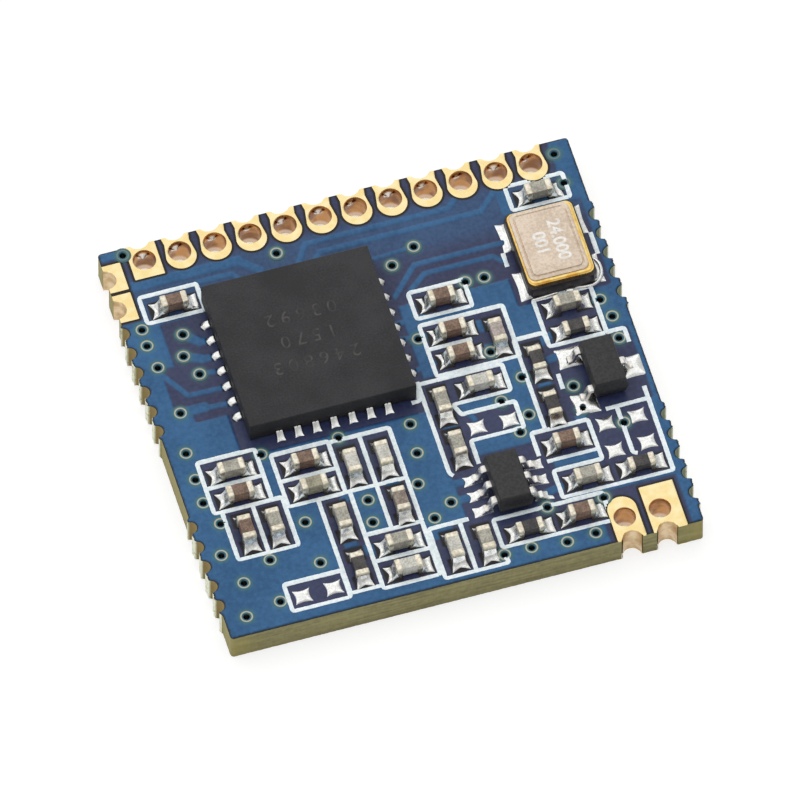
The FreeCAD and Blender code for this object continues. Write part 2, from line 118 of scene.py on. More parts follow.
class Finish:
    """The node tree of a material or of the world, with one way to add any node."""

    def __init__(self, owner, shader_type, constants=()):
        owner.use_nodes = True
        self.owner = owner
        self.tree = owner.node_tree
        self.shader = next(n for n in self.tree.nodes if n.bl_idname == shader_type)
        for socket, constant in dict(constants).items():
            self.shader.inputs[socket].default_value = constant

    def node(self, kind, settings=(), inputs=(), output=0):
        """A node of any kind: settings first, then its sockets by name or number, as constants or links."""
        new = self.tree.nodes.new(kind)
        for name, setting in dict(settings).items():
            setattr(new, name, setting)
        for socket, given in dict(inputs).items():
            if isinstance(given, Value):
                self.tree.links.new(given.socket, new.inputs[socket])
            else:
                new.inputs[socket].default_value = given
        return Value(self, new.outputs[output])

    def mix(self, share, a, b):
        """Colour a where share is 0, and colour b where it is 1."""
        return self.node("ShaderNodeMix", {"data_type": "RGBA"}, {0: share, 6: a, 7: b}, 2)

    def feed(self, **links):
        """Links values to the main shader's sockets, named with underscores for spaces."""
        for socket, value in links.items():
            self.tree.links.new(value.socket, self.shader.inputs[socket.replace("_", " ").title()])


def srgb(red, green, blue):
    """A colour as seen on screen, 0 to 255, as the linear colour that shaders take."""
    seen = np.array((red, green, blue)) / 255
    return (*np.where(seen <= 0.04045, seen / 12.92, ((seen + 0.055) / 1.055) ** 2.4), 1.0)


def seen_rays(finish):
    """1 for rays from the lens, from gloss and through glass, which see the white studio."""
    outputs = finish.node("ShaderNodeLightPath").socket.node.outputs
    return [Value(finish, outputs["Is %s Ray" % kind]) for kind in ("Camera", "Glossy", "Transmission")]


CLOTH_SIDE = 0.9
CLOTH_AWAY = 0.6
CLOTH_RADIANCE = 0.95
CLOTH_FROM = Vector((-0.10, 0.42, 0.90)).normalized()
FLOOR_SIDE = 3.0
FLOOR_OWN_SHARE = 0.62
FLOOR_GLOW = 1.16
ROOM_LIGHT = 0.62
ROOM_GLOSS = (0.42, 0.80)
ROOM_BEHIND_CLOTH = 0.12
BRIGHT_SIDE = Vector((-0.55, 0.60, 0.58))
# Where the room's gloss turns from dim to bright, and where the cloth's edge ends it, as cosines
BRIGHT_FROM_TO = (-0.6, 0.6)
CLOTH_FROM_TO = (0.74, 0.84)

cloth = bpy.data.lights.new("cloth", "AREA")
cloth.size = CLOTH_SIDE
cloth.energy = CLOTH_RADIANCE * np.pi * CLOTH_SIDE ** 2
cloth_holder = bpy.data.objects.new("cloth", cloth)
cloth_holder.location = CLOTH_FROM * CLOTH_AWAY
cloth_holder.rotation_euler = CLOTH_FROM.to_track_quat("Z", "Y").to_euler()
bpy.context.scene.collection.objects.link(cloth_holder)

world = bpy.data.worlds.new("studio")
bpy.context.scene.world = world
room = Finish(world, "ShaderNodeBackground", {"Color": (1, 1, 1, 1)})
glossy_ray = seen_rays(room)[1]
way = room.node("ShaderNodeTexCoord", output="Generated")
toward_bright = room.node("ShaderNodeVectorMath", {"operation": "DOT_PRODUCT"}, {0: way, 1: BRIGHT_SIDE}, "Value")
toward_cloth = room.node("ShaderNodeVectorMath", {"operation": "DOT_PRODUCT"}, {0: way, 1: CLOTH_FROM}, "Value")
gloss_level = toward_bright.steps(*BRIGHT_FROM_TO) * (ROOM_GLOSS[1] - ROOM_GLOSS[0]) + ROOM_GLOSS[0]
gloss_level = gloss_level * (1 - toward_cloth.steps(*CLOTH_FROM_TO) * (1 - ROOM_BEHIND_CLOTH))
room.feed(strength=glossy_ray * gloss_level + (1 - glossy_ray) * ROOM_LIGHT)

sweep = bpy.data.materials.new("sweep_white")
sweep_look = Finish(sweep, "ShaderNodeBsdfPrincipled", {"Base Color": (0.93, 0.93, 0.93, 1), "Roughness": 0.9,
                                                       "Specular IOR Level": 0.0})
camera_ray, glossy_ray, through_ray = seen_rays(sweep_look)
glow = sweep_look.node("ShaderNodeEmission", inputs={"Color": (1, 1, 1, 1), "Strength": FLOOR_GLOW})
sweep_out = next(n for n in sweep.node_tree.nodes if n.bl_idname == "ShaderNodeOutputMaterial")
blend = sweep_look.node("ShaderNodeMixShader", inputs={0: (camera_ray + glossy_ray + through_ray) * FLOOR_OWN_SHARE,
                                                      2: glow})
sweep.node_tree.links.new(sweep_look.shader.outputs[0], blend.socket.node.inputs[1])
sweep.node_tree.links.new(blend.socket, sweep_out.inputs["Surface"])
half = FLOOR_SIDE / 2
floor_mesh = bpy.data.meshes.new("sweep")
floor_mesh.from_pydata([(-half, -half, 0), (half, -half, 0), (half, half, 0), (-half, half, 0)], [], [(0, 1, 2, 3)])
floor_mesh.materials.append(sweep)
floor = bpy.data.objects.new("sweep", floor_mesh)
bpy.context.scene.collection.objects.link(floor)
floor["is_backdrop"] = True


# The laminate: glass cloth and resin in olive layers, routed to a rectangle. Round plated
# notches are cut into three of its edges, and four broken tabs leave perforated stubs.
MM = 0.001
LAND_T = 0.03
low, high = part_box("circuit_board")
BOTTOM = low.z / MM
DECK = high.z / MM
TOP = DECK + LAND_T
TAB_OUT = 0.10
LEFT = low.x / MM + TAB_OUT
RIGHT = high.x / MM - TAB_OUT
FRONT = low.y / MM
BACK = high.y / MM
PITCH = 1.27
ROW_XS = PITCH * (np.arange(12) - 5.5)
ROW_Y = 7.53
SIDE_YS = np.array((7.10, 5.83))
FRONT_XS = np.array((5.92, 7.19))
FRONT_HOLE_Y = -7.29
PLATING = 0.03
ROW_NOTCH_R = 0.42
ROW_NOTCH_OUT = 0.24
SIDE_NOTCH_R = 0.36
FRONT_NOTCH_R = 0.34
LEFT_TABS = ((5.20, 0.27), (-3.00, -7.20))
RIGHT_TABS = ((5.50, 0.98), (-3.10, -7.58))
BITE_R = 0.25
BITE_PITCH = 0.83
BITE_OUT = 0.08
BITE_END = 0.35
# How far a torn face falls back, how much a routed edge wavers and how rough its wall is
TORN_BACK = 0.03
EDGE_WAVER = 0.006
WALL_WEAR = 0.004
CORNER_R = 0.14
EDGE_STEP = 0.02
RIM = 0.05


def sheet(grid, finish, loop=False, flip=False):
    """Points, faces and finish of grids of points, (..., rows, columns, 3): each face joins a point, the
    next in its row and the two in the row after. A loop closes each row, and flip turns the faces."""
    grid = np.asarray(grid, float)
    rows, columns = grid.shape[-3:-1]
    index = np.arange(rows * columns).reshape(rows, columns)
    if loop:
        index = np.concatenate([index, index[:, :1]], 1)
    corners = np.stack([index[:-1, :-1], index[:-1, 1:], index[1:, 1:], index[1:, :-1]], -1).reshape(-1, 4)
    if flip:
        corners = corners[:, ::-1]
    copies = grid.size // (3 * rows * columns)
    starts = np.arange(copies)[:, None, None] * rows * columns
    return grid.reshape(-1, 3), (corners + starts).reshape(-1, 4), finish


def raised(flat, z):
    """Points from their places seen from above and their heights."""
    return np.concatenate([flat, np.broadcast_to(z, flat.shape[:-1])[..., None]], -1)


def piece(name, sheets, replaced=(), crease=35, marks=()):
    """One piece from sheets, in millimetres. Its faces are smooth but for creases sharper than an angle.
    Marks are named numbers, one a point."""
    starts = np.cumsum([0] + [len(s[0]) for s in sheets[:-1]])
    points = np.concatenate([s[0] for s in sheets]) * MM
    faces = np.concatenate([s[1] + start for s, start in zip(sheets, starts)]).astype(np.int32)
    mesh = bpy.data.meshes.new(name)
    mesh.vertices.add(len(points))
    mesh.vertices.foreach_set("co", points.astype(np.float32).ravel())
    mesh.loops.add(faces.size)
    mesh.loops.foreach_set("vertex_index", faces.ravel())
    mesh.polygons.add(len(faces))
    mesh.polygons.foreach_set("loop_start", np.arange(len(faces), dtype=np.int32) * 4)
    finishes = list(dict.fromkeys(s[2] for s in sheets))
    for finish in finishes:
        mesh.materials.append(finish.owner)
    slots = np.concatenate([np.full(len(s[1]), finishes.index(s[2]), np.int32) for s in sheets])
    mesh.polygons.foreach_set("material_index", slots)
    mesh.update(calc_edges=True)
    mesh.set_sharp_from_angle(angle=np.radians(crease))
    for mark, numbers in dict(marks).items():
        layer = mesh.attributes.new(mark, "FLOAT", "POINT")
        layer.data.foreach_set("value", np.asarray(numbers, np.float32).ravel())
    thing = bpy.data.objects.new(name, mesh)
    bpy.context.scene.collection.objects.link(thing)
    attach(thing, "root")
    if replaced:
        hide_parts(*replaced)


class Surface(Finish):
    """A new material of one Principled shader, with constants set on its own sockets, and short ways to
    the nodes that most surfaces of the module use. They read places on it, in metres."""

    def __init__(self, name, **constants):
        named = {key.replace("_", " ").title().replace("Ior", "IOR"): value for key, value in constants.items()}
        super().__init__(bpy.data.materials.new(name), "ShaderNodeBsdfPrincipled", named)
        self.spot = self.node("ShaderNodeTexCoord", output="Object")

    def along(self, axis):
        """The place along one axis."""
        return self.node("ShaderNodeSeparateXYZ", inputs={0: self.spot}, output=axis)

    def rise(self, axis, start, end):
        """0 at one place along an axis and before it and 1 at another and past it, both in millimetres."""
        return self.along(axis).steps(start * MM, end * MM)

    def noise(self, scale, detail, at=None):
        """Clouds between 0 and 1, about 1 / scale apart."""
        return self.node("ShaderNodeTexNoise", inputs={"Vector": at or self.spot, "Scale": scale, "Detail": detail})

    def mottled(self, cloud, dark, light, spread=0.15):
        """A colour that turns from dark to light where a cloud is within `spread` of its middle, 0.5."""
        return self.mix(cloud.steps(0.5 - spread, 0.5 + spread), srgb(*dark), srgb(*light))

    def mark(self, name):
        """The number that the piece's points carry under a name."""
        return self.node("ShaderNodeAttribute", {"attribute_name": name}, output="Fac")

    def bump(self, strength, distance, height):
        """A normal tilted by a height that stands `distance` high where it is 1."""
        return self.node("ShaderNodeBump", inputs={"Strength": strength, "Distance": distance, "Height": height})


def ripple(along, seed):
    """An irregular wave between -1 and 1: the mean of three sines of unrelated pitch."""
    waves = [np.sin(rate * along + phase * seed) for rate, phase in ((9.1, 1.0), (23.7, 2.1), (51.3, 3.7))]
    return sum(waves) / 3


def ease(share):
    """A smooth rise from 0 to 1 as share goes from 0 to 1."""
    share = np.clip(share, 0, 1)
    return share * share * (3 - 2 * share)


def notches(along, centres, r, out=0.0):
    """How deep round notches cut an edge: a circle's chord past the edge, its centre `out` beyond it."""
    away = along[..., None] - centres
    return np.maximum(np.sqrt(np.maximum(r ** 2 - away ** 2, 0)) - out, 0).max(-1)


def tab_reach(y, tabs, seed):
    """How far an edge stands out on its broken tabs: a torn face, less the circles of its bites. Then
    where its face is a bite's and where it is torn."""
    reach = EDGE_WAVER * ripple(y * 1.7, seed)
    bitten = torn_off = np.zeros_like(reach)
    for tab_back, tab_front in tabs:
        steps = int((tab_back - tab_front - 2 * BITE_END) / BITE_PITCH)
        bites = (tab_back + tab_front) / 2 + BITE_PITCH * (np.arange(steps + 1) - steps / 2)
        on_tab = ease(np.minimum(tab_back - y, y - tab_front) / 0.10)
        torn = (TAB_OUT - TORN_BACK + TORN_BACK * ripple(y * 1.3, seed + 1)) * on_tab
        away = np.abs(y[..., None] - bites).min(-1)
        bite = BITE_OUT - np.sqrt(np.maximum(BITE_R ** 2 - away ** 2, 0))
        on = (y < tab_back) & (y > tab_front)
        reach = np.where(on, np.where(away < BITE_R, np.minimum(bite, torn), torn), reach)
        bitten = np.where(on & (away < BITE_R) & (bite < torn), 1.0, bitten)
        torn_off = np.where(on & (on_tab > 0.5) & ((away > BITE_R) | (bite > torn)), 1.0, torn_off)
    return reach, bitten, torn_off


def left_edge(y):
    """Where the left edge lies at y: the rectangle's side, in by its notches and out by its tabs."""
    return LEFT + notches(y, SIDE_YS, SIDE_NOTCH_R + PLATING) - tab_reach(y, LEFT_TABS, 1)[0]


def right_edge(y):
    """The same for the right edge, which has tabs alone."""
    return RIGHT + tab_reach(y, RIGHT_TABS, 2)[0]


def front_edge(x):
    """The same for the front edge at x, which has notches and wavers from the router."""
    return FRONT + notches(x, FRONT_XS, FRONT_NOTCH_R + PLATING) + EDGE_WAVER * ripple(x * 0.9, 3) + EDGE_WAVER


def back_edge(x):
    """The same for the back edge, which has the twelve notches of the row."""
    return BACK - notches(x, ROW_XS, ROW_NOTCH_R + PLATING, ROW_NOTCH_OUT)


xs = np.arange(LEFT + CORNER_R, RIGHT - CORNER_R, EDGE_STEP)
ys = np.arange(FRONT + CORNER_R, BACK - CORNER_R, EDGE_STEP)
turn = np.linspace(0, np.pi / 2, 9)[1:-1]
corner = np.stack([np.cos(turn), np.sin(turn)], -1) * CORNER_R
quarter = np.array(((0, 1), (-1, 0)))
path = np.concatenate([
    np.stack([xs, front_edge(xs)], -1),
    (RIGHT - CORNER_R, FRONT + CORNER_R) + corner @ quarter.T,
    np.stack([right_edge(ys), ys], -1),
    (RIGHT - CORNER_R, BACK - CORNER_R) + corner,
    np.stack([xs[::-1], back_edge(xs[::-1])], -1),
    (LEFT + CORNER_R, BACK - CORNER_R) + corner @ quarter,
    np.stack([left_edge(ys[::-1]), ys[::-1]], -1),
    (LEFT + CORNER_R, FRONT + CORNER_R) + corner @ quarter @ quarter,
])
ahead = np.roll(path, -1, 0) - np.roll(path, 1, 0)
ahead /= np.linalg.norm(ahead, axis=1)[:, None] + 1e-9
outward = np.stack([ahead[:, 1], -ahead[:, 0]], -1)
run = np.cumsum(np.linalg.norm(np.diff(path, axis=0, prepend=path[:1]), axis=1))
wall_z = np.linspace(BOTTOM, DECK, 12)
levels = [(RIM, BOTTOM + 0.004)] + [(0.0, z) for z in wall_z] + [(RIM, DECK - 0.004)]
rows = []
for i, (inset, z) in enumerate(levels):
    worn = WALL_WEAR * ripple(run * 1.9, i) + WALL_WEAR if 1 < i < len(levels) - 2 else 0.0
    rows.append(raised(path - outward * np.reshape(inset + worn, (-1, 1)), z))

laminate = Surface("laminate_olive", roughness=0.62)
layers = laminate.node("ShaderNodeMapping", inputs={"Vector": laminate.spot, "Scale": (0.05, 0.05, 1)})
strata = laminate.noise(9000, 2, layers)
cloth_grain = laminate.noise(5200, 4)
fibres = strata * 0.55 + cloth_grain * 0.45
olive = laminate.mottled(fibres, (112, 106, 64), (148, 143, 92), 0.20)
# Browner towards the foot and yellower at both sides
olive = laminate.mix(laminate.rise("Z", 0.5, -0.1) * 0.45, olive, srgb(104, 94, 46))
at_sides = laminate.rise("X", -7.0, -8.6) + laminate.rise("X", 7.0, 8.6)
olive = laminate.mix(at_sides * 0.55, olive, srgb(158, 146, 70))
# Brown in the left side's bites and green in the right one's, with pale torn fibres between them
bite_colour = laminate.mix(laminate.rise("X", -1.0, 1.0), srgb(150, 122, 62), srgb(92, 120, 106))
olive = laminate.mix(laminate.mark("bitten") * 0.65, olive, bite_colour)
pale_fibres = laminate.mark("torn") * cloth_grain.steps(0.20, 0.50)
laminate.feed(base_color=laminate.mix(pale_fibres, olive, srgb(242, 246, 222)),
              normal=laminate.bump(0.35, 0.00002, fibres))
side_x, side_y = path.T
on_side = np.abs(side_x) > RIGHT - 0.45
both_sides = zip(tab_reach(side_y, LEFT_TABS, 1)[1:], tab_reach(side_y, RIGHT_TABS, 2)[1:])
bitten, torn = (np.tile(on_side * np.where(side_x < 0, left, right), len(rows)) for left, right in both_sides)
piece("laminate_edge", [sheet(rows, laminate, loop=True)], ["circuit_board"],
      marks={"bitten": bitten, "torn": torn})


# The edge pads: copper lands on both faces, joined by plated barrels and plated notches,
# all under one thin layer of gold. The lacquer stops short of them and leaves a gap, painted nearly black as shade.
ROW_HOLE_R = 0.40
ROW_INSET = BACK - ROW_Y
ROW_LAND_R = 0.54
ROW_LAND_DROP = 0.19
ROW_WAIST = 0.45
ROW_WAIST_INSET = 0.30
ROW_HORN = 0.50
FRONT_HOLE_R = 0.38
FRONT_INSET = FRONT_HOLE_Y - FRONT
AERIAL_HALF = 0.52
AERIAL_SHOULDER = 0.32
GROUND_LEFT = 0.49
GROUND_RIGHT = 0.73
GROUND_TOP = 1.00
SIDE_LAND_L = 0.67
SIDE_LAND_HALF = 0.57
# A ledge of plating in a barrel: how far it stands out, how wide it is in radians, and its
# foot and its top. Then its share of that in each pad of the back row, which also sets the painted glint on it.
LEDGE_OUT = 0.18
LEDGE_SPREAD = 0.42
LEDGE_Z = (0.96, 1.06)
ROW_LEDGES = (1, 1, 0.7, 0.4, 1, 0.8, 0.5, 1, 0.6, 0.4, 0.9, 0.4)
PAD_TURNS = np.linspace(0, 2 * np.pi, 200, endpoint=False)
HALF_TURNS = np.linspace(-np.pi / 2, np.pi / 2, 101)


def row_land(x, y):
    """How far a point is outside a back-row land, from its hole: a disc in front, a waist and two horns behind."""
    half = np.interp(y, (-ROW_LAND_DROP, ROW_INSET - ROW_WAIST_INSET, ROW_INSET), (ROW_LAND_R, ROW_WAIST, ROW_HORN))
    return np.where(y < -ROW_LAND_DROP, np.hypot(x, y + ROW_LAND_DROP) - ROW_LAND_R, np.abs(x) - half)


def first_land(x, y):
    """The same for pad 1, whose land is square."""
    return np.maximum(np.abs(x) - ROW_LAND_R, -y - ROW_LAND_DROP - ROW_LAND_R)


def aerial_land(x, y):
    """The same for the aerial's land: straight sides and a round inner end."""
    high = y - AERIAL_SHOULDER
    return np.where(high > 0, np.hypot(x, high), np.abs(x)) - AERIAL_HALF


def ground_land(x, y):
    """The same for the ground's land, a rectangle."""
    return np.maximum(np.maximum(-x - GROUND_LEFT, x - GROUND_RIGHT), y - GROUND_TOP)


def side_land(x, y):
    """The same for a left-edge land, a rectangle, from its notch."""
    return np.maximum(np.abs(y) - SIDE_LAND_HALF, x - SIDE_LAND_L)


def plated_pad(centre, r, land, turns, edge=9.0, edge_way=1, notch=None, ledge=0.0):
    """Both lands and the barrel of a pad as one skin. Each turn's ray runs from the hole to where it first
    leaves the land, the board's edge or a notch. A profile of shares of that way and of heights goes
    round with it: over the upper land, down the barrel and out under the lower land. A ledge of plating
    stands out of the barrel's wall at the back. Then how much of a ledge there is at each point."""
    away = np.linspace(r + 0.02, 1.6, 700)[:, None]
    x, y = away * np.cos(turns), away * np.sin(turns)
    outside = np.maximum(land(x, y), edge_way * y - edge)
    if notch is not None:
        outside = np.maximum(outside, notch[1] - np.hypot(x, y - notch[0]))
    rim = away[np.argmax(outside > 0, 0), 0]
    profile = np.array((
        (1, 0, DECK - 0.012), (1, 0, TOP - 0.012), (1, -0.006, TOP - 0.003), (1, -0.016, TOP),
        (0.5, 0, TOP + 0.002), (0, 0.050, TOP), (0, 0.022, TOP - 0.002), (0, 0.006, TOP - 0.012), (0, 0, TOP - 0.035),
        (0, 0.001, 1.10), (0, 0.002, 1.06), (0, 0.002, 1.04), (0, 0.002, 1.02), (0, 0.003, 1.00), (0, 0.003, 0.98),
        (0, 0.003, 0.96), (0, 0.003, 0.93), (0, 0.004, 0.89),
        (0, 0.004, 0.85), (0, 0.004, 0.80), (0, 0.004, 0.72), (0, 0.003, 0.60), (0, 0.002, 0.4),
        (0, 0, 0.02), (0, 0, 0.002), (0, 0.004, 0),
        (1, -0.016, 0), (1, -0.003, 0.006), (1, 0, 0.04),
    ))
    share, shift, z = profile[:, :, None].transpose(1, 0, 2)
    # The ledge's turn differs a little from pad to pad, near the back of the hole
    middle = 1.66 + 0.16 * np.sin(2.9 * centre[0])
    foot, top = LEDGE_Z
    up = np.where(z > foot, np.clip((top - z) / (top - foot), 0, 1) ** 0.8, np.exp(-((z - foot) / 0.2) ** 2))
    near = np.exp(-((turns - middle) / LEDGE_SPREAD) ** 2) * up * (share == 0)
    radius = r + share * (rim - r) + shift - LEDGE_OUT * ledge * near
    flat = np.stack([centre[0] + radius * np.cos(turns), centre[1] + radius * np.sin(turns)], -1)
    return raised(flat, z), near * ledge


def notch_wall(centre, r, span, facing):
    """The plating of a notch: an arc of a cylinder, flared at both faces. It faces the open side."""
    turns = np.linspace(-span, span, 41) + facing
    z = np.array((0.004, 0.03, 0.3, 0.8, TOP - 0.03, TOP - 0.004))[:, None]
    radius = r + np.array((0.012, 0, 0.002, 0.004, 0, 0.012))[:, None]
    flat = np.stack([centre[0] + radius * np.cos(turns), centre[1] + radius * np.sin(turns)], -1)
    return raised(flat, z)


gold = Surface("pad_gold", metallic=1.0, roughness=0.27)
brushed = gold.noise(2600, 5)
barrel_clouds = gold.noise(1300, 3)
dents = gold.noise(4200, 2)
face = gold.mix(brushed.steps(0.35, 0.7), srgb(247, 222, 158), srgb(254, 236, 184))
# The barrel is browner and darker than the faces: partly the plating's own colour, partly painted shade of the deep
# hole.
barrel = gold.mottled(barrel_clouds, (142, 98, 64), (202, 148, 92), 0.10)
# The barrel is paler at its foot, a painted reflection of the white sweep seen through the hole, and its ledge is
# nearly white, a painted glint
barrel = gold.mix(gold.rise("Z", 0.34, 0.16) * 0.8, barrel, srgb(236, 208, 186))
painted_ledge_glint = (gold.mark("ledge") + barrel_clouds * 0.3).steps(0.30, 0.50)
barrel = gold.mix(painted_ledge_glint, barrel, srgb(255, 246, 236))
inside = gold.rise("Z", 1.16, 1.08) * gold.rise("Z", 0.02, 0.06)
# Where the glint is painted, the gold is also made less metallic.
gold.feed(base_color=gold.mix(inside, face, barrel), metallic=1 - painted_ledge_glint * inside * 0.3,
          roughness=brushed * 0.10 + 0.19,
          normal=gold.bump(0.6, 0.00003, brushed * 0.08 + inside * dents * 0.9))
open_gold = Surface("notch_gold", metallic=0.8)
dull = open_gold.noise(2600, 4)
open_gold.feed(base_color=open_gold.mottled(dull, (196, 164, 120), (232, 210, 172)),
               roughness=dull * 0.2 + 0.28)

row_notch = (ROW_INSET + ROW_NOTCH_OUT, ROW_NOTCH_R)
row_notch_span = np.arccos(ROW_NOTCH_OUT / ROW_NOTCH_R)
row_lands = [first_land] + [row_land] * (len(ROW_XS) - 1)
row_sheets, row_marks = [], []
for x, land, ledge in zip(ROW_XS, row_lands, ROW_LEDGES):
    pad, near = plated_pad((x, ROW_Y), ROW_HOLE_R, land, PAD_TURNS, ROW_INSET, 1, row_notch, ledge)
    wall = notch_wall((x, BACK + ROW_NOTCH_OUT), ROW_NOTCH_R, row_notch_span, -np.pi / 2)
    row_sheets += [sheet(pad, gold, loop=True), sheet(wall, open_gold, flip=True)]
    row_marks += [near.ravel(), np.zeros(wall.size // 3)]
piece("back_row_pads", row_sheets, ["header_pads"], marks={"ledge": np.concatenate(row_marks)})

# The rows of a pad's grid where its barrel begins and ends
BARREL_FROM = 8
BARREL_TO = -5
side_sheets = []
for y in SIDE_YS:
    pad, _ = plated_pad((LEFT, y), SIDE_NOTCH_R, side_land, HALF_TURNS)
    side_sheets += [sheet(pad[:BARREL_FROM + 1], gold), sheet(pad[BARREL_FROM:BARREL_TO + 1], open_gold),
                    sheet(pad[BARREL_TO:], gold)]
piece("left_half_hole_pads", side_sheets, ["side_pads"])

front_notch = (-FRONT_INSET, FRONT_NOTCH_R)
for name, x, land in (("aerial", FRONT_XS[0], aerial_land), ("ground", FRONT_XS[1], ground_land)):
    pad, _ = plated_pad((x, FRONT_HOLE_Y), FRONT_HOLE_R, land, PAD_TURNS, FRONT_INSET, -1, front_notch)
    wall = notch_wall((x, FRONT), FRONT_NOTCH_R, np.pi / 2, np.pi / 2)
    pad_sheets = [sheet(pad, gold, loop=True), sheet(wall, open_gold, flip=True)]
    piece(name + "_plated_pad", pad_sheets, [name + "_pad"])


# The lacquer: a blue film, brushed out and cured over the copper. It lies lower and looks
# darker where there is no copper under it, and stops at the lands, the holes and the edges.
LACQUER_STEP = 0.042
LACQUER_T = 0.016
LACQUER_BACK = 0.05
LAND_GAP = 0.08
TRACK_W = 0.20
VIA_HOLE_R = 0.12
VIA_RING_R = 0.23
UNDER_BARE_Z = 0.016
UNDER_COPPER_Z = 0.006
VIA_COPPER_R = 0.27
# How far round a via its ring tints the film
VIA_SPREAD = 0.10
# How far bare areas stop short, and tinned lands are covered by their solder
BARE_IN = 0.08
TINNED_IN = 0.045
# The film's clearance round a pad's hole and round a via's
HOLE_CLEAR = 0.03
VIA_CLEAR = 0.02
# How wide the slopes of the copper and of the film's rims are, and how much a rim wavers
COPPER_SLOPE = 0.09
RIM_SLOPE = 0.045
RIM_WAVER = 0.015
# The same on the underside, and where its copper ends from a land and from an edge
UNDER_RIM_SLOPE = 0.08
UNDER_HOLE_CLEAR = 0.05
UNDER_LAND_GAP = 0.25
UNDER_EDGE_GAP = 0.20
# How far the film's grid starts outside the edges, and how far inside them it is drawn in
GRID_OUT = 0.16
GRID_IN = 0.003
# Areas with no copper poured: left, right, front and back
BARE = (
    (-7.75, 7.68, 6.85, 8.30), (-7.75, 5.35, 5.30, 6.90), (0.40, 5.00, 3.25, 5.95), (-7.15, -5.50, 2.30, 4.75),
    (-7.65, -5.50, 1.40, 2.95), (-7.10, -5.50, 0.68, 1.45), (-7.50, -5.60, 4.95, 6.10), (5.85, 7.88, 5.84, 6.82),
    (4.95, 8.15, 2.05, 5.60), (1.40, 3.32, 2.50, 3.58),
    (1.40, 4.30, 0.08, 2.16), (5.45, 7.48, 0.14, 2.06), (0.68, 3.60, -1.18, 0.00), (0.68, 1.68, -4.00, -1.10),
    (1.76, 3.60, -2.78, -1.72), (4.34, 5.35, -3.00, 0.68), (5.42, 8.20, -2.80, 0.06), (5.90, 8.06, -5.88, -2.86),
    (3.84, 5.80, -4.33, -3.22), (4.14, 8.06, -5.88, -4.80), (0.75, 4.12, -6.00, -3.55), (1.60, 5.42, -7.26, -6.17),
    (-0.68, 1.53, -7.90, -5.90), (-7.57, -5.58, -3.11, -1.04), (-7.30, -5.22, -5.14, -3.18),
    (-5.04, -3.06, -3.56, -1.46), (-2.98, -0.88, -3.56, -1.52), (-1.88, -0.88, -5.42, -3.50),
    (-3.98, -2.92, -7.54, -3.64), (-2.84, -0.88, -7.68, -5.50), (-6.10, -4.10, -7.68, -6.64),
    (-5.95, 0.80, -1.15, 5.60), (5.25, 8.02, -8.30, -6.18), (-8.50, -7.70, 5.20, 7.75),
)
# Copper that runs or lies in those areas: two ends, and a width
TRACKS = (
    (-7.70, 6.56, -3.90, 6.56, 0.40), (-3.90, 6.56, -3.25, 5.95, 0.30), (-5.50, 6.11, -4.30, 6.11, TRACK_W),
    (-4.30, 6.11, -3.90, 5.70, TRACK_W), (-2.00, 5.70, -1.50, 6.56, TRACK_W), (-1.50, 6.56, 3.70, 6.56, TRACK_W),
    (3.70, 6.56, 4.20, 7.00, TRACK_W), (-1.50, 5.60, -1.10, 6.10, TRACK_W), (-1.10, 6.10, 4.75, 6.11, TRACK_W),
    (4.75, 6.11, 5.60, 6.95, TRACK_W), (0.90, 3.60, 1.90, 4.66, TRACK_W), (1.90, 4.66, 5.20, 4.66, TRACK_W),
    (1.50, 3.70, 2.15, 4.22, TRACK_W), (2.15, 4.22, 4.60, 4.22, TRACK_W), (4.60, 4.22, 4.95, 3.90, TRACK_W),
    (-7.80, 2.90, -7.10, 1.75, TRACK_W), (-7.10, 1.75, -5.50, 1.70, TRACK_W), (-6.58, 4.20, -6.10, 3.75, 0.36),
    (-6.10, 3.75, -5.50, 3.65, 0.28), (-6.80, 3.33, -6.20, 3.05, 0.36), (-6.20, 3.05, -5.50, 3.00, 0.28),
    (-7.57, 1.13, -6.70, 1.13, 0.40), (-6.48, 2.48, -5.60, 2.40, TRACK_W), (-7.60, 1.12, -5.60, 1.05, TRACK_W),
    (0.60, 2.50, 1.60, 2.55, TRACK_W), (0.60, 1.85, 1.60, 1.75, TRACK_W), (0.50, 0.45, 1.70, 0.62, TRACK_W),
    (2.10, 5.38, 0.60, 5.30, 0.14), (3.00, 1.62, 3.90, 1.55, 0.5), (2.90, 0.60, 3.90, 0.60, 0.4),
    (4.85, 0.20, 5.60, 0.55, 0.3), (4.83, -1.00, 4.83, -1.60, 0.45), (5.85, -0.30, 5.30, -0.40, 0.3),
    (1.19, -1.90, 1.19, -2.20, 0.45), (2.09, -2.00, 1.80, -1.30, 0.2),
    (3.60, -5.60, 4.40, -5.44, 0.3), (0.35, -4.34, 0.90, -4.34, 0.3), (-0.30, -5.02, 0.90, -5.02, 0.3),
    (5.92, -6.60, 5.30, -6.70, 0.4), (-1.38, -3.40, -1.35, -3.90, 0.45), (-2.50, -3.40, -3.20, -3.90, 0.3),
    (-3.46, -5.50, -3.45, -5.90, 0.45), (-0.09, -6.10, -0.9, -6.16, 0.4), (-2.5, -6.16, -3.2, -6.0, 0.4),
)
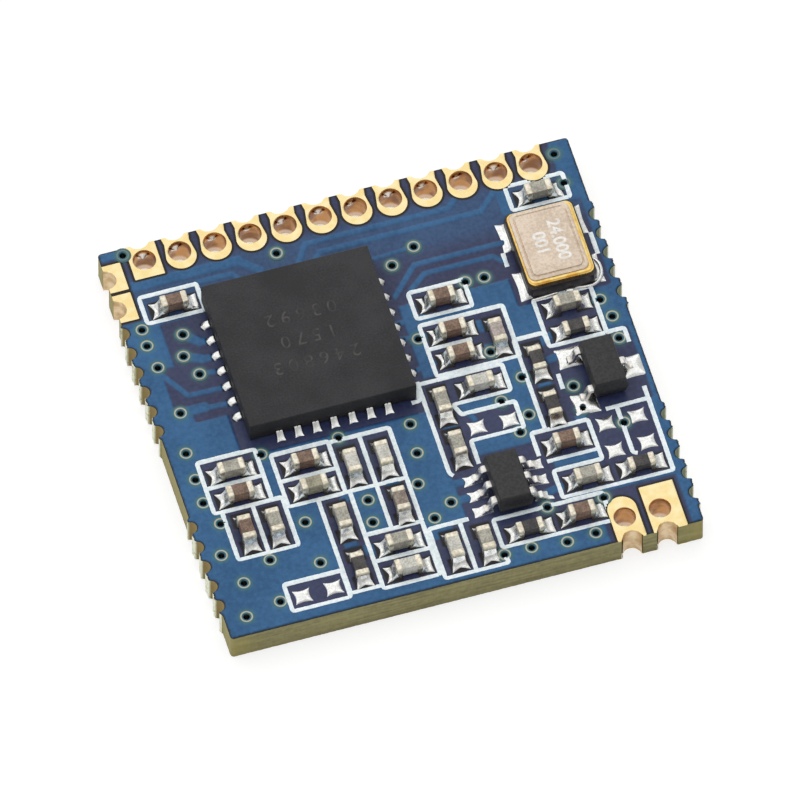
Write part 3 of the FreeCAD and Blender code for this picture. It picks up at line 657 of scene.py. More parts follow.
# The vias' centres
PLATED_THROUGH = (
    (-7.66, 7.91), (7.86, 7.65), (7.85, 6.41), (-2.53, 6.48), (2.10, 5.38), (1.16, 4.85),
    (-7.88, 4.78), (-7.90, 4.10), (-6.58, 4.20), (-6.81, 3.33), (-7.79, 3.14), (3.40, 3.48),
    (4.08, 3.47), (-6.48, 2.48), (1.17, 1.70), (7.66, 1.46), (-7.57, 1.13), (7.87, 0.68),
    (3.42, 0.48), (7.84, -0.24), (-7.85, -0.50), (4.16, -0.82), (-5.38, -1.28), (-2.63, -1.38),
    (3.19, -1.56), (-0.09, -1.56), (-7.84, -1.62), (5.76, -1.68), (3.95, -2.36), (-7.85, -2.61),
    (5.80, -2.64), (-0.20, -2.76), (3.46, -2.96), (-7.52, -3.59), (7.00, -3.60), (-0.53, -3.98),
    (-2.37, -4.12), (-4.70, -4.36), (-7.86, -4.84), (0.35, -5.02), (-2.47, -5.03), (-6.30, -5.49),
    (-0.38, -5.48), (-4.67, -6.09), (-7.43, -6.13), (3.47, -6.16), (5.45, -6.34), (-6.44, -7.21),
    (-7.73, -7.47), (1.50, -7.59), (2.48, -7.58), (4.77, -7.64), (3.73, -7.71),
)
# A tinned land under each end of a chip part: how far out its middle and its far side lie, half
# its length and half its width
CHIP_LAND_OUT = 0.575
CHIP_LAND_REACH = 0.85
CHIP_LAND_HALF_L = CHIP_LAND_REACH - CHIP_LAND_OUT
CHIP_LAND_HALF = 0.325
# The radio chip's terminals along a side, and the land that shows past each: how far out its
# middle lies, half its length and half its width
TERMINAL_PITCH = 0.65
TERMINAL_ROW = TERMINAL_PITCH * (np.arange(7) - 3)
TERMINAL_LAND_OUT = 0.12
TERMINAL_LAND_HALF_L = 0.15
TERMINAL_LAND_HALF = 0.12
FOUR_WAYS = np.array(((1, 0), (0, 1), (-1, 0), (0, -1)))


def box_away(x, y, x0, x1, y0, y1):
    """Signed distance to a rectangle, negative inside it."""
    dx = np.abs(x - (x0 + x1) / 2) - (x1 - x0) / 2
    dy = np.abs(y - (y0 + y1) / 2) - (y1 - y0) / 2
    return np.hypot(np.maximum(dx, 0), np.maximum(dy, 0)) + np.minimum(np.maximum(dx, dy), 0)


def line_away(x, y, x0, y0, x1, y1):
    """Distance to a straight line between two points."""
    share = np.clip(((x - x0) * (x1 - x0) + (y - y0) * (y1 - y0)) / ((x1 - x0) ** 2 + (y1 - y0) ** 2), 0, 1)
    return np.hypot(x - x0 - share * (x1 - x0), y - y0 - share * (y1 - y0))


def nearest(distances):
    """The least of several distances at each point."""
    least = None
    for distance in distances:
        least = distance if least is None else np.minimum(least, distance)
    return least


def middle_of(node):
    """The centre and the size of a node's box from above, in millimetres."""
    low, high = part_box(node)
    middle = np.array(((low.x + high.x) / 2, (low.y + high.y) / 2))
    return middle / MM, np.array((high.x - low.x, high.y - low.y)) / MM


def land_box(middle, way, half_length, half_width):
    """The left, right, front and back of a land that lies along a way."""
    half = np.where(way, half_length, half_width)
    return middle[0] - half[0], middle[0] + half[0], middle[1] - half[1], middle[1] + half[1]


chip_nodes = sorted(n for n in frame["nodes"] if n.startswith(("capacitor_", "inductor_", "resistor_")))
chip_ways = {}
joint_boxes = []
for node in chip_nodes:
    middle, size = middle_of(node)
    along = np.array((1, 0) if size[0] > size[1] else (0, 1))
    chip_ways[node] = middle, along
    joint_boxes += [land_box(middle + way * CHIP_LAND_OUT, way, CHIP_LAND_HALF_L, CHIP_LAND_HALF)
                    for way in (-along, along)]
radio_middle, radio_size = middle_of("radio_chip_body")
for way in FOUR_WAYS:
    places = radio_middle + way * (radio_size / 2 + TERMINAL_LAND_OUT) + way[::-1] * TERMINAL_ROW[:, None]
    joint_boxes += [land_box(place, way, TERMINAL_LAND_HALF_L, TERMINAL_LAND_HALF) for place in places]


def square_land_away(x, y, hole_x):
    """Distance outside a square land of the back row."""
    return box_away(x, y, hole_x - ROW_LAND_R, hole_x + ROW_LAND_R, ROW_Y - ROW_LAND_DROP - ROW_LAND_R, BACK + 1)


def row_lands_away(x, y):
    """Distance outside the nearest land of the back row."""
    nearest_x = ROW_XS[np.clip(np.round(x / PITCH + 5.5).astype(int), 0, 11)]
    plain = row_land(x - nearest_x, y - ROW_Y)
    return np.where(nearest_x == ROW_XS[0], square_land_away(x, y, ROW_XS[0]), plain)


def edge_lands(x, y):
    """Distances outside each land of the left and the front edge."""
    sides = [box_away(x, y, LEFT - 1, LEFT + SIDE_LAND_L, side - SIDE_LAND_HALF, side + SIDE_LAND_HALF)
             for side in SIDE_YS]
    return sides + [aerial_land(x - FRONT_XS[0], y - FRONT_HOLE_Y), ground_land(x - FRONT_XS[1], y - FRONT_HOLE_Y)]


def lands_away(x, y):
    """Distance outside the nearest bare land of any kind on the top face."""
    tinned = [box_away(x, y, *box) + TINNED_IN for box in joint_boxes]
    return nearest([row_lands_away(x, y)] + edge_lands(x, y) + tinned)


def under_lands_away(x, y):
    """Distance outside the nearest land on the underside, where every land of the row is square."""
    return nearest([square_land_away(x, y, hole) for hole in ROW_XS] + edge_lands(x, y))


def vias_away(x, y):
    """Distance from the nearest via's centre."""
    return nearest(np.hypot(x - via_x, y - via_y) for via_x, via_y in PLATED_THROUGH)


def via_nearness(x, y):
    """1 on the copper ring of a via, falling to 0 beside it."""
    return np.exp(-((vias_away(x, y) - VIA_RING_R) / VIA_SPREAD) ** 2)


def edge_inside(x, y):
    """Distance inside the nearest of the board's edges."""
    return nearest((x - left_edge(y), right_edge(y) - x, y - front_edge(x), back_edge(x) - y))


def copper_below(x, y):
    """The share of copper below: 1 on poured copper, tracks and via rings and 0 in the bare areas."""
    bare = nearest(box_away(x, y, *area) for area in BARE) - BARE_IN
    track = nearest(line_away(x, y, *line[:4]) - line[4] / 2 for line in TRACKS)
    outside = np.minimum(np.minimum(-bare, track), vias_away(x, y) - VIA_COPPER_R)
    return ease(0.5 - outside / COPPER_SLOPE)


def top_openings(x, y):
    """1 where the film is open round lands and along the edges, and 0 where it covers."""
    from_edge = edge_inside(x, y) - LACQUER_BACK - RIM_WAVER * ripple(x + y, 5)
    return ease(0.5 - np.minimum(lands_away(x, y) - LAND_GAP, from_edge) / RIM_SLOPE)


def lacquer_z(copper, opened):
    """The film's height: lower where there is no copper, and down to the laminate in its openings."""
    film = DECK + LACQUER_T + copper * (LAND_T + 0.002)
    return film + (DECK + 0.002 - film) * opened


blue = Surface("blue_lacquer", roughness=0.30, ior=1.38)
copper = blue.mark("copper")
weave = blue.noise(7000, 3)
clouds = blue.noise(500, 3)
grain = weave * 0.5 + clouds * 0.5
over_copper = blue.mottled(grain, (28, 80, 124), (50, 102, 148), 0.20)
over_bare = blue.mottled(grain, (42, 47, 80), (58, 65, 98), 0.20)
# A strip with no copper behind the chip is nearly as pale as the copper
pale_back = (1 - copper) * blue.rise("Y", 4.6, 5.6) * blue.rise("Y", 7.2, 6.7) * 0.45
film = blue.mix(copper + pale_back, over_bare, over_copper)
film = blue.mix(blue.mark("near_via") * 0.60, film, srgb(66, 116, 110))
# Where the film is open, round lands and along the edges, it is painted nearly black: painted shade of the narrow
# gap.
blue.feed(base_color=blue.mix(blue.mark("opened"), film, srgb(26, 21, 23)),
          normal=blue.bump(0.30, 0.000006, weave))
xs = np.linspace(LEFT - GRID_OUT, RIGHT + GRID_OUT, int((RIGHT - LEFT) / LACQUER_STEP))
ys = np.linspace(FRONT, BACK, int((BACK - FRONT) / LACQUER_STEP))
halves = np.array_split(np.arange(len(xs)), 2)


def drawn_in(x, y):
    """Grid points outside the board's outline, moved onto it."""
    x = np.clip(x, left_edge(y) + GRID_IN, right_edge(y) - GRID_IN)
    y = np.clip(y, front_edge(x) + GRID_IN, back_edge(x) - GRID_IN)
    dx = x - np.clip(x, LEFT + CORNER_R, RIGHT - CORNER_R)
    dy = y - np.clip(y, FRONT + CORNER_R, BACK - CORNER_R)
    pull = np.where(dx * dy != 0, 1 - np.minimum(CORNER_R / np.maximum(np.hypot(dx, dy), 1e-6), 1), 0)
    return x - dx * pull, y - dy * pull


def kept(drawn, wanted):
    """A sheet without the faces that have no area or whose middle isn't wanted."""
    points, faces, finish = drawn
    corners = points[faces]
    size = np.linalg.norm(np.cross(corners[:, 2] - corners[:, 0], corners[:, 3] - corners[:, 1]), axis=1)
    return points, faces[(size > 1e-5) & wanted(*corners.mean(1).T[:2])], finish


def holes_away(x, y):
    """Distance outside the nearest hole of a pad or a via, with its clearance."""
    holes = [np.hypot(x - hole, y - ROW_Y) - ROW_HOLE_R - HOLE_CLEAR for hole in ROW_XS]
    holes += [np.hypot(x - hole, y - FRONT_HOLE_Y) - FRONT_HOLE_R - HOLE_CLEAR for hole in FRONT_XS]
    return nearest(holes + [vias_away(x, y) - VIA_HOLE_R - VIA_CLEAR])


for name, columns in (("left", np.append(halves[0], halves[1][0])), ("right", halves[1])):
    x, y = drawn_in(*np.meshgrid(xs[columns], ys))
    copper, opened = copper_below(x, y), top_openings(x, y)
    film = kept(sheet(np.stack([x, y, lacquer_z(copper, opened)], -1), blue), lambda x, y: holes_away(x, y) > 0)
    piece("top_lacquer_" + name, [film], ["circuit_board"], crease=60,
          marks={"copper": copper, "opened": opened, "near_via": via_nearness(x, y)})

for name, columns in (("left", np.append(halves[0][::2], halves[1][0])), ("right", halves[1][::2])):
    x, y = drawn_in(*np.meshgrid(xs[columns], ys[::2]))
    away, inside = under_lands_away(x, y), edge_inside(x, y)
    copper = ease((np.minimum(away - UNDER_LAND_GAP, inside - UNDER_EDGE_GAP)) / COPPER_SLOPE)
    opened = ease(0.5 - np.minimum(away - LAND_GAP, inside - LACQUER_BACK) / UNDER_RIM_SLOPE)
    z = UNDER_BARE_Z + (UNDER_COPPER_Z - UNDER_BARE_Z) * copper
    z += (BOTTOM - 0.002 - UNDER_BARE_Z) * opened * (1 - copper)
    film = sheet(np.stack([x, y, z], -1), blue, flip=True)
    film = kept(film, lambda x, y: holes_away(x, y) > UNDER_HOLE_CLEAR)
    piece("under_lacquer_" + name, [film], ["circuit_board"], crease=60,
          marks={"copper": copper, "opened": opened, "near_via": via_nearness(x, y)})


# The vias: small drilled holes, plated through. Lacquer runs over each copper ring and thins
# to an olive line round the hole.
VIA_TURNS = np.linspace(0, 2 * np.pi, 20, endpoint=False)
ring_look = Surface("via_ring", roughness=0.35)
ring_colour = ring_look.mix(ring_look.mark("rim"), srgb(48, 96, 104), srgb(200, 198, 170))
# Below the deck the hole's plating is painted nearly black: painted shade inside the narrow hole.
ring_look.feed(base_color=ring_look.mix(ring_look.rise("Z", 1.14, 1.10), ring_colour, srgb(26, 24, 22)))
film_z = DECK + LACQUER_T + LAND_T
# Each ring's section: its radius, its height and how much of the olive line there is
profile = np.array(((0.30, film_z - 0.010, 0.0), (0.235, film_z + 0.003, 0.1), (0.210, film_z + 0.007, 0.75),
                    (0.190, film_z + 0.006, 0.85), (0.160, film_z, 0.1), (VIA_HOLE_R, film_z - 0.02, 0.0),
                    (VIA_HOLE_R, 0.6, 0.0), (VIA_HOLE_R, 0.004, 0.0), (0.20, 0.001, 0.6), (0.26, 0.005, 0.0)))
radius, z, rim = profile.T[:, :, None]
circles = np.stack([radius * np.cos(VIA_TURNS), radius * np.sin(VIA_TURNS)], -1)
rings = raised(circles + np.array(PLATED_THROUGH)[:, None, None, :], z)
rim_marks = np.array(np.broadcast_to(rim, rings.shape[:-1]))
# The first three lie under thicker lacquer
rim_marks[:3] *= 0.25
piece("via_rings", [sheet(rings, ring_look, loop=True)], marks={"rim": rim_marks})


# The printed outlines: white ink, screened on the cured lacquer in lines with soft round
# corners. Ink that would fall on a land is left off.
INK_W = 0.162
INK_T = 0.016
INK_CORNER = 0.07
INK_STEP = 0.05
INK_WAVER = 0.008
INK_LIFT = 0.0012
INK_OFF_LAND = 0.04
INK_OFF_VIA = 0.03
# Closed frames: left, right, front and back
FRAMES = (
    (-7.62, -5.55, 4.97, 6.08), (5.82, 7.90, 5.82, 6.84), (1.36, 3.36, 2.48, 3.60), (1.35, 4.35, 0.05, 2.20),
    (5.43, 7.50, 0.11, 2.09), (1.53, 5.45, -7.30, -6.12), (-7.61, -5.54, -3.15, -1.00), (-7.34, -5.18, -5.18, -3.15),
    (-5.08, -3.02, -3.60, -1.42), (-3.02, -0.84, -3.60, -1.48), (-4.02, -2.88, -7.58, -3.60),
    (-2.88, -0.84, -7.72, -5.46), (-6.14, -4.06, -7.72, -6.60),
)
# Open lines, from corner to corner
LINES = (
    ((1.35, 1.18), (2.95, 1.18)), ((0.63, 0.03), (0.63, -3.88), (0.74, -4.00)), ((-7.61, -2.10), (-5.54, -2.10)),
    ((-6.25, -3.15), (-6.25, -5.18)), ((-5.08, -2.54), (-3.02, -2.54)), ((-1.92, -1.48), (-1.92, -5.46)),
    ((-0.84, -3.60), (-0.84, -5.46)), ((-2.88, -6.58), (-0.84, -6.58)), ((0.40, -5.86), (0.40, -7.94)),
    ((4.98, 3.66), (4.98, 4.24)), ((8.14, 3.28), (8.14, 4.20)), ((7.50, 0.11), (8.13, 0.11), (8.13, -0.49)),
    ((0.63, -0.09), (3.64, -0.09), (3.64, -1.22), (1.55, -1.22), (1.72, -1.69), (3.64, -1.69), (3.64, -2.81),
     (1.72, -2.81), (1.72, -3.79)),
    ((5.42, 0.27), (5.38, 0.71), (4.31, 0.71), (4.31, -3.10)), ((5.39, -1.05), (5.38, -1.69)),
    ((3.80, -4.08), (3.80, -3.12), (5.84, -3.12), (5.86, -4.80), (4.10, -4.80), (4.10, -5.93), (8.08, -5.94),
     (8.10, -2.36)),
    ((4.00, -4.37), (5.84, -4.37)), ((6.56, -2.89), (8.10, -2.87)), ((6.95, -2.90), (6.95, -4.86), (7.10, -4.92)),
    ((0.73, -5.84), (-0.72, -5.86), (-0.72, -7.94), (1.57, -7.94), (1.50, -7.66)),
    ((0.42, -0.62), (0.63, -0.02)), ((0.20, -0.74), (0.50, -0.74), (0.63, -0.10)),
)


def rounded_way(corners, closed):
    """Points a step apart on straight runs between corners, with a soft bend of three points at each."""
    corners = np.array(corners, float)
    if closed:
        corners = np.concatenate([corners, corners[:2]])
    points = [corners[0]] if not closed else []
    for before, at, after in zip(corners, corners[1:], corners[2:]):
        a = at + (before - at) / np.linalg.norm(before - at) * INK_CORNER
        b = at + (after - at) / np.linalg.norm(after - at) * INK_CORNER
        points += [a, (a + b + 2 * at) / 4, b]
    points += [points[0]] if closed else [corners[-1]]
    points = np.array(points)
    steps = np.linalg.norm(np.diff(points, axis=0), axis=1)
    along = np.concatenate([[0], np.cumsum(steps)])
    fine = np.linspace(0, along[-1], max(int(along[-1] / INK_STEP), 4))
    return np.stack([np.interp(fine, along, points[:, i]) for i in (0, 1)], -1)


def sideways(way):
    """At each point of a line, the unit way to its left."""
    ahead = np.gradient(way, axis=0)
    ahead /= np.linalg.norm(ahead, axis=1)[:, None]
    return np.stack([-ahead[:, 1], ahead[:, 0]], -1)


def ink(way, order):
    """A low rounded ridge along a line, lying on the lacquer: its cross-section follows the line, and its
    width wavers a little. Lines that cross lie at different heights, a hair apart."""
    profile = np.array(((1.0, -0.03), (0.98, 0.5 * INK_T), (0.80, INK_T), (0.0, 1.1 * INK_T), (-0.80, INK_T),
                        (-0.98, 0.5 * INK_T), (-1.0, -0.03)))
    run = np.arange(len(way)) * INK_STEP
    half = INK_W / 2 + INK_WAVER * ripple(run + way[0].sum(), 7)
    flat = way[:, None] + sideways(way)[:, None] * (profile[:, 0, None] * half[:, None, None])
    film = DECK + LACQUER_T + copper_below(flat[..., 0], flat[..., 1]) * LAND_T
    return raised(flat, film + profile[:, 1] + INK_LIFT * (order % 7))


white = Surface("print_white", roughness=0.55)
speck = white.noise(8000, 3)
white.feed(base_color=white.mottled(speck, (224, 238, 243), (246, 252, 253)))
ways = [rounded_way(((x0, y0), (x1, y0), (x1, y1), (x0, y1)), True) for x0, x1, y0, y1 in FRAMES]
ways += [rounded_way(line, False) for line in LINES]


def off_lands(x, y):
    """Where ink may lie: off the lands, and off the holes of the vias."""
    return (lands_away(x, y) > INK_OFF_LAND) & (vias_away(x, y) > VIA_HOLE_R + INK_OFF_VIA)


ink_sheets = [kept(sheet(ink(way, order), white, flip=True), off_lands) for order, way in enumerate(ways)]
piece("printed_lines", ink_sheets, ["printed_outlines"], crease=50)


# The chip parts: little blocks of fired ceramic with a silvered and tinned cap round each
# end. The brown and grey ones are capacitors, the white inductors and the black resistors.
SEAT = DECK + 0.05
CHIP_PART_L = 0.95
CHIP_PART_W = 0.48
CAP_L = 0.225
CAP_SOFT = 0.055
BODY_STEP = 0.02
BODY_SOFT = 0.02
HEIGHTS = {"capacitor": 0.50, "inductor": 0.48, "resistor": 0.35}
# Each slot's ceramic: its darkest and its lightest colour
CERAMICS = {
    "ceramic_brown": ((96, 74, 60), (142, 114, 94)),
    "ceramic_grey": ((138, 134, 122), (186, 182, 168)),
    "ceramic_pinkish": ((150, 138, 132), (192, 180, 172)),
    "ceramic_olive": ((122, 118, 98), (168, 162, 138)),
    "ceramic_taupe": ((116, 104, 92), (160, 148, 134)),
    "ceramic_white": ((176, 174, 164), (218, 216, 206)),
    "resistor_black": ((44, 42, 42), (78, 74, 72)),
}


def soft_levels(foot, height, soft, draft=0.0):
    """Levels of a block with rounded upper edges: inset, height and corner radius. It tapers both ways from its
    middle by the draft."""
    levels = [(draft + 0.4 * soft, foot, soft), (draft, foot + 0.5 * soft, soft), (0, foot + height / 2, soft)]
    for turn in np.linspace(0, np.pi / 2, 5):
        bend = soft * (1 - np.cos(turn))
        levels.append((draft + bend, foot + height - soft + soft * np.sin(turn), soft - bend))
    return levels + [(np.inf, foot + height, 0)]


def loops(centres, sizes, levels, corner=5):
    """Rounded boxes, one a centre, as loops stacked from the foot up. The last level, drawn in as far as it
    goes, closes the top."""
    turns = (np.linspace(0, np.pi / 2, corner) + np.arange(4)[:, None] * np.pi / 2).ravel()
    way = np.stack([np.cos(turns), np.sin(turns)], -1)
    sign = np.repeat(((1, 1), (-1, 1), (-1, -1), (1, -1)), corner, 0)
    inset, height, r = np.array(levels, float).T[:, :, None, None]
    half = np.reshape(sizes, (-1, 1, 1, 2)) / 2
    inset = np.minimum(inset, half.min(-1, keepdims=True))
    flat = np.reshape(centres, (-1, 1, 1, 2)) + sign * (half - inset - r) + r * way
    return raised(flat, height[..., 0])


def ceramic_look(name, dark, light):
    """Fired ceramic: fine dark and light grains with a few larger clouds."""
    look = Surface(name, roughness=0.42)
    grains = look.noise(16000, 3)
    patches = look.noise(3500, 2)
    mottle = grains * 0.6 + patches * 0.4
    look.feed(base_color=look.mottled(mottle, dark, light, 0.14),
              normal=look.bump(0.3, 0.000004, grains))
    return look


def tinned_look(name, dark, light, roughness, dented=0.5):
    """Tin, reflowed or plated: bright, with a fine dull grain and slow dents."""
    look = Surface(name, metallic=1.0)
    grain = look.noise(9000, 4)
    dents = look.noise(5200, 1)
    look.feed(base_color=look.mottled(grain, dark, light), roughness=grain * 0.16 + roughness,
              normal=look.bump(dented, 0.00002, dents))
    return look


cap_tin = tinned_look("cap_tin", (216, 206, 184), (250, 244, 226), 0.34)
slots = {part["node"]: part["material_slot"] for part in frame["record"]["subparts"]}
for slot, (dark, light) in CERAMICS.items():
    ceramic = ceramic_look(slot, dark, light)
    nodes = [node for node in chip_nodes if slots[node] == slot]
    sheets = []
    for node in nodes:
        centre, along = chip_ways[node]
        height = HEIGHTS[node.split("_")[0]]
        body_size = along * (CHIP_PART_L - CAP_L) + (1 - along) * (CHIP_PART_W - 2 * BODY_STEP)
        body = loops(centre, body_size, soft_levels(SEAT + BODY_STEP, height - 2 * BODY_STEP, BODY_SOFT))
        cap_size = along * CAP_L + (1 - along) * CHIP_PART_W
        ends = centre + np.array((-1, 1))[:, None] * along * (CHIP_PART_L - CAP_L) / 2
        caps = loops(ends, [cap_size, cap_size], soft_levels(SEAT, height, CAP_SOFT))
        sheets += [sheet(body, ceramic, loop=True), sheet(caps, cap_tin, loop=True)]
    piece(slot + "_parts", sheets, nodes, crease=50)


# The solder: each joint wets the metal's end face and runs out over its land in a hollow
# curve. Its rim reaches the land's corners and draws in between them.
FILM_T = 0.03
SKIRT_Z = DECK - 0.02
JOINT_ROWS = np.array((0, 0.15, 0.30, 0.36, 0.42, 0.50, 0.58, 0.66, 0.74, 0.82, 0.90, 0.96, 1, 1))
JOINT_COLUMNS = np.array((-1, -1, -0.97, -0.9, -0.8, -0.6, -0.4, -0.2, 0, 0.2, 0.4, 0.6, 0.8, 0.9, 0.97, 1, 1))


def joints(feet, ways, start, face, reach, half, metal_half, rise, pinch=0.0, claw=0.0, bulge=1.0, power=3.0):
    """Solder joints as skins, one a foot, from `start` to `reach` along its way. Past the metal's end face and
    its sides the height falls as rise (1 - s^bulge)^power, with s the share of the way to the rim. The skin
    widens from the metal's sides to `half`. `pinch` draws the rim in between its corners, or swells it if
    negative, and `claw` raises a ridge towards each corner."""
    feet = np.reshape(feet, (-1, 1, 1, 2))
    ways = np.reshape(ways, (-1, 1, 1, 2)).astype(float)
    across = np.stack([ways[..., 1], -ways[..., 0]], -1)
    a, b = JOINT_ROWS[:, None], JOINT_COLUMNS[None, :]
    drawn = pinch * (1 - np.abs(b) ** 1.4)
    u = start + a * (reach - drawn - start)
    near = metal_half + 0.02
    wide = near + (half - near) * np.clip((u - start) / (reach - start), 0, 1) ** 1.5
    v = b * wide
    past_end = np.maximum(u - face, 0) / np.maximum(reach - drawn - face, 0.02)
    past_side = np.maximum(np.abs(v) - metal_half, 0) / np.maximum(wide - metal_half, 0.01)
    fall = (1 - np.clip(np.hypot(past_end, 0.8 * past_side), 0, 1) ** bulge) ** power
    beside = 0.45 + 0.55 * ease((u - face + 0.12) / 0.12)
    rim = np.minimum(1 - a, 1 - np.abs(b)) * half
    film = FILM_T * (1 - np.exp(-rim / 0.025))
    ridge = claw * np.abs(b) ** 3 * np.sin(np.pi * np.clip(past_end, 0, 1)) * (1 - b ** 8)
    z = DECK + (0.006 + film + rise * fall * beside + ridge)
    z[-1] = z[:, [0, -1]] = SKIRT_Z
    return raised(feet + ways * u[..., None] + across * v[..., None], z)


solder = tinned_look("bright_solder", (232, 232, 228), (252, 252, 250), 0.16, 0.16)
# Groups of joints by the ways they run: how far they end short, their pinch, their ridges and their power
CHIP_JOINTS = (
    (((0, 1),), 0.10, 0.05, 0.05, 3.0),
    (((1, 0),), 0.0, 0.03, 0.02, 4.5),
    (((-1, 0), (0, -1)), 0.0, 0.15, 0.05, 3.0),
)
JOINT_FROM = 0.30
JOINT_CLIMB = 0.66
joint_sheets = []
for kind, height in HEIGHTS.items():
    for group, short, pinch, claw, power in CHIP_JOINTS:
        ends = [(centre, way) for node, (centre, along) in chip_ways.items() for way in (along, -along)
                if node.startswith(kind) and tuple(way) in group]
        if ends:
            grids = joints(*zip(*ends), start=JOINT_FROM, face=CHIP_PART_L / 2, reach=CHIP_LAND_REACH - short,
                           half=CHIP_LAND_HALF - 0.4 * short, metal_half=CHIP_PART_W / 2 - 0.01,
                           rise=JOINT_CLIMB * height, pinch=pinch, claw=claw, power=power)
            joint_sheets.append(sheet(grids, solder))
piece("chip_part_joints", joint_sheets, ["chip_part_solder"], crease=40)

SPARE_SIZE = (0.66, 0.60)
SPARE_H = 0.055
SPARE_PLACES = (
    (6.39, -3.45), (7.53, -3.46), (6.39, -4.59), (7.56, -4.58),
    (2.09, -2.34), (3.24, -2.37), (-5.64, -7.21), (-4.52, -7.19),
)


def pillows(places, sizes, height, pinch=0.20):
    """Tinned lands: height (1 - a^2) (1 - b^2) over a square of shares a and b, whose sides draw in between
    the corners, on a film that ends at the rim."""
    share = np.concatenate([[-1], np.linspace(-1, 1, 21), [1]])
    a, b = share[None, :], share[:, None]
    flat = np.stack([a * (1 - pinch * (1 - b ** 2)), b * (1 - pinch * (1 - a ** 2))], -1)
    rim = np.minimum(1 - np.abs(a), 1 - np.abs(b)) * 0.3
    z = DECK + height * (1 - a ** 2) * (1 - b ** 2) + FILM_T * (1 - np.exp(-rim / 0.02)) + 0.008
    z[[0, -1]] = z[:, [0, -1]] = SKIRT_Z
    return raised(np.reshape(places, (-1, 1, 1, 2)) + flat * np.reshape(sizes, (-1, 1, 1, 2)) / 2, z)


spare_solder = sheet(pillows(SPARE_PLACES, SPARE_SIZE, SPARE_H), solder)
piece("spare_land_solder", [spare_solder], ["spare_lands"], crease=60)


# The radio chip: a flat block of matt dark epoxy, faintly marked by laser, with seven
# terminals flush with each side and a small hollow joint at each.
CHIP_H = 0.85
CHIP_SOFT = 0.035
CHIP_MARK = ("2 4 6 8 0 3", "1 5 7 0", "0 3 6 9 2")
CHIP_MARK_H = 0.50
CHIP_MARK_PITCH = 0.98
HEAT_PAD = (4.2, 4.2)
# The joints along the front are hollow and reach far out, and the others fill their lands
FRONT_JOINTS = {"reach": 0.37, "half": 0.17, "metal_half": 0.11, "rise": 0.20, "pinch": 0.07, "claw": 0.02,
                "power": 2.2}
OTHER_JOINTS = {"reach": 0.23, "half": 0.16, "metal_half": 0.12, "rise": 0.11, "pinch": -0.10, "bulge": 2.0,
                "power": 1.0}
# The share of a font's size that its digits are tall, and how far a mark lies over its face
DIGIT_SHARE = 0.7
MARK_LIFT = 0.002


def lettering(name, lines, height, pitch, centre, turned, z, look, bold=0.0):
    """Rows of plain digits as flat meshes, centred on a point and turned about it. The first line is on top."""
    for i, text in enumerate(lines):
        curve = bpy.data.curves.new(name, "FONT")
        curve.body = text
        curve.size = height * MM / DIGIT_SHARE
        curve.offset = bold * MM
        curve.align_x = "CENTER"
        curve.align_y = "CENTER"
        holder = bpy.data.objects.new(name, curve)
        mesh = bpy.data.meshes.new_from_object(holder)
        bpy.data.objects.remove(holder)
        row = ((len(lines) - 1) / 2 - i) * pitch
        turn = Matrix.Rotation(np.radians(turned), 4, "Z")
        place = Matrix.Translation([along * MM for along in (*centre, z)])
        mesh.transform(place @ turn @ Matrix.Translation((0, row * MM, 0)))
        mesh.materials.clear()
        mesh.materials.append(look.owner)
        thing = bpy.data.objects.new("%s_%d" % (name, i + 1), mesh)
        bpy.context.scene.collection.objects.link(thing)
        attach(thing, "root")


epoxy = Surface("chip_epoxy", roughness=0.62, ior=1.35)
grit = epoxy.noise(14000, 4)
smears = epoxy.noise(700, 2)
epoxy.feed(base_color=epoxy.mottled(grit * 0.5 + smears * 0.5, (44, 44, 46), (58, 58, 60)),
           normal=epoxy.bump(0.5, 0.000006, grit))
chip_block = sheet(loops(radio_middle, radio_size, soft_levels(SEAT, CHIP_H, CHIP_SOFT)), epoxy, loop=True)
piece("radio_chip", [chip_block], ["radio_chip_body"], crease=50)

laser = Surface("laser_mark", roughness=0.7)
patchy = laser.noise(3000, 4)
laser.feed(base_color=laser.mix(patchy.steps(0.42, 0.60), srgb(50, 50, 51), srgb(74, 70, 67)))
lettering("chip_mark", CHIP_MARK, CHIP_MARK_H, CHIP_MARK_PITCH, radio_middle, 180,
          SEAT + CHIP_H + MARK_LIFT, laser)

terminal_tin = tinned_look("terminal_tin", (222, 219, 212), (248, 246, 242), 0.22, 0.2)
for material_slot in frame["nodes"]["radio_chip_terminals"].material_slots:
    material_slot.material = terminal_tin.owner
grids = []
for way in FOUR_WAYS:
    feet = radio_middle + way * radio_size / 2 + way[::-1] * TERMINAL_ROW[:, None]
    shape = FRONT_JOINTS if way[1] < 0 else OTHER_JOINTS
    grids.append(joints(feet, np.tile(way, (len(feet), 1)), start=-0.10, face=0.0, **shape))
heat_joint = loops(radio_middle, HEAT_PAD, [(0, DECK, 0.05), (0, SEAT, 0.05), (np.inf, SEAT, 0)])
piece("radio_chip_joints", [sheet(np.concatenate(grids), solder), sheet(heat_joint, solder, loop=True)],
      ["radio_chip_solder"], crease=50)


# The crystal: a black ceramic tub, a gold-plated seal ring brazed on it and a plated lid
# welded to the ring, pressed with a flat panel. Its marks are printed along the board.
LID_SIZE = np.array((2.17, 2.87))
RING_SIZE = LID_SIZE + 0.12
LID_Z = SEAT + 0.62
LID_TOP = LID_Z + 0.13
LID_SHIFT = np.array((-0.045, 0.03))
LID_MARK_SHIFT = np.array((-0.02, 0.0))
LID_MARK = ("24.000", "001")
LID_MARK_H = 0.44
LID_MARK_PITCH = 0.64
LID_MARK_BOLD = 0.018
CRYSTAL_LAND_PITCH = 2.08
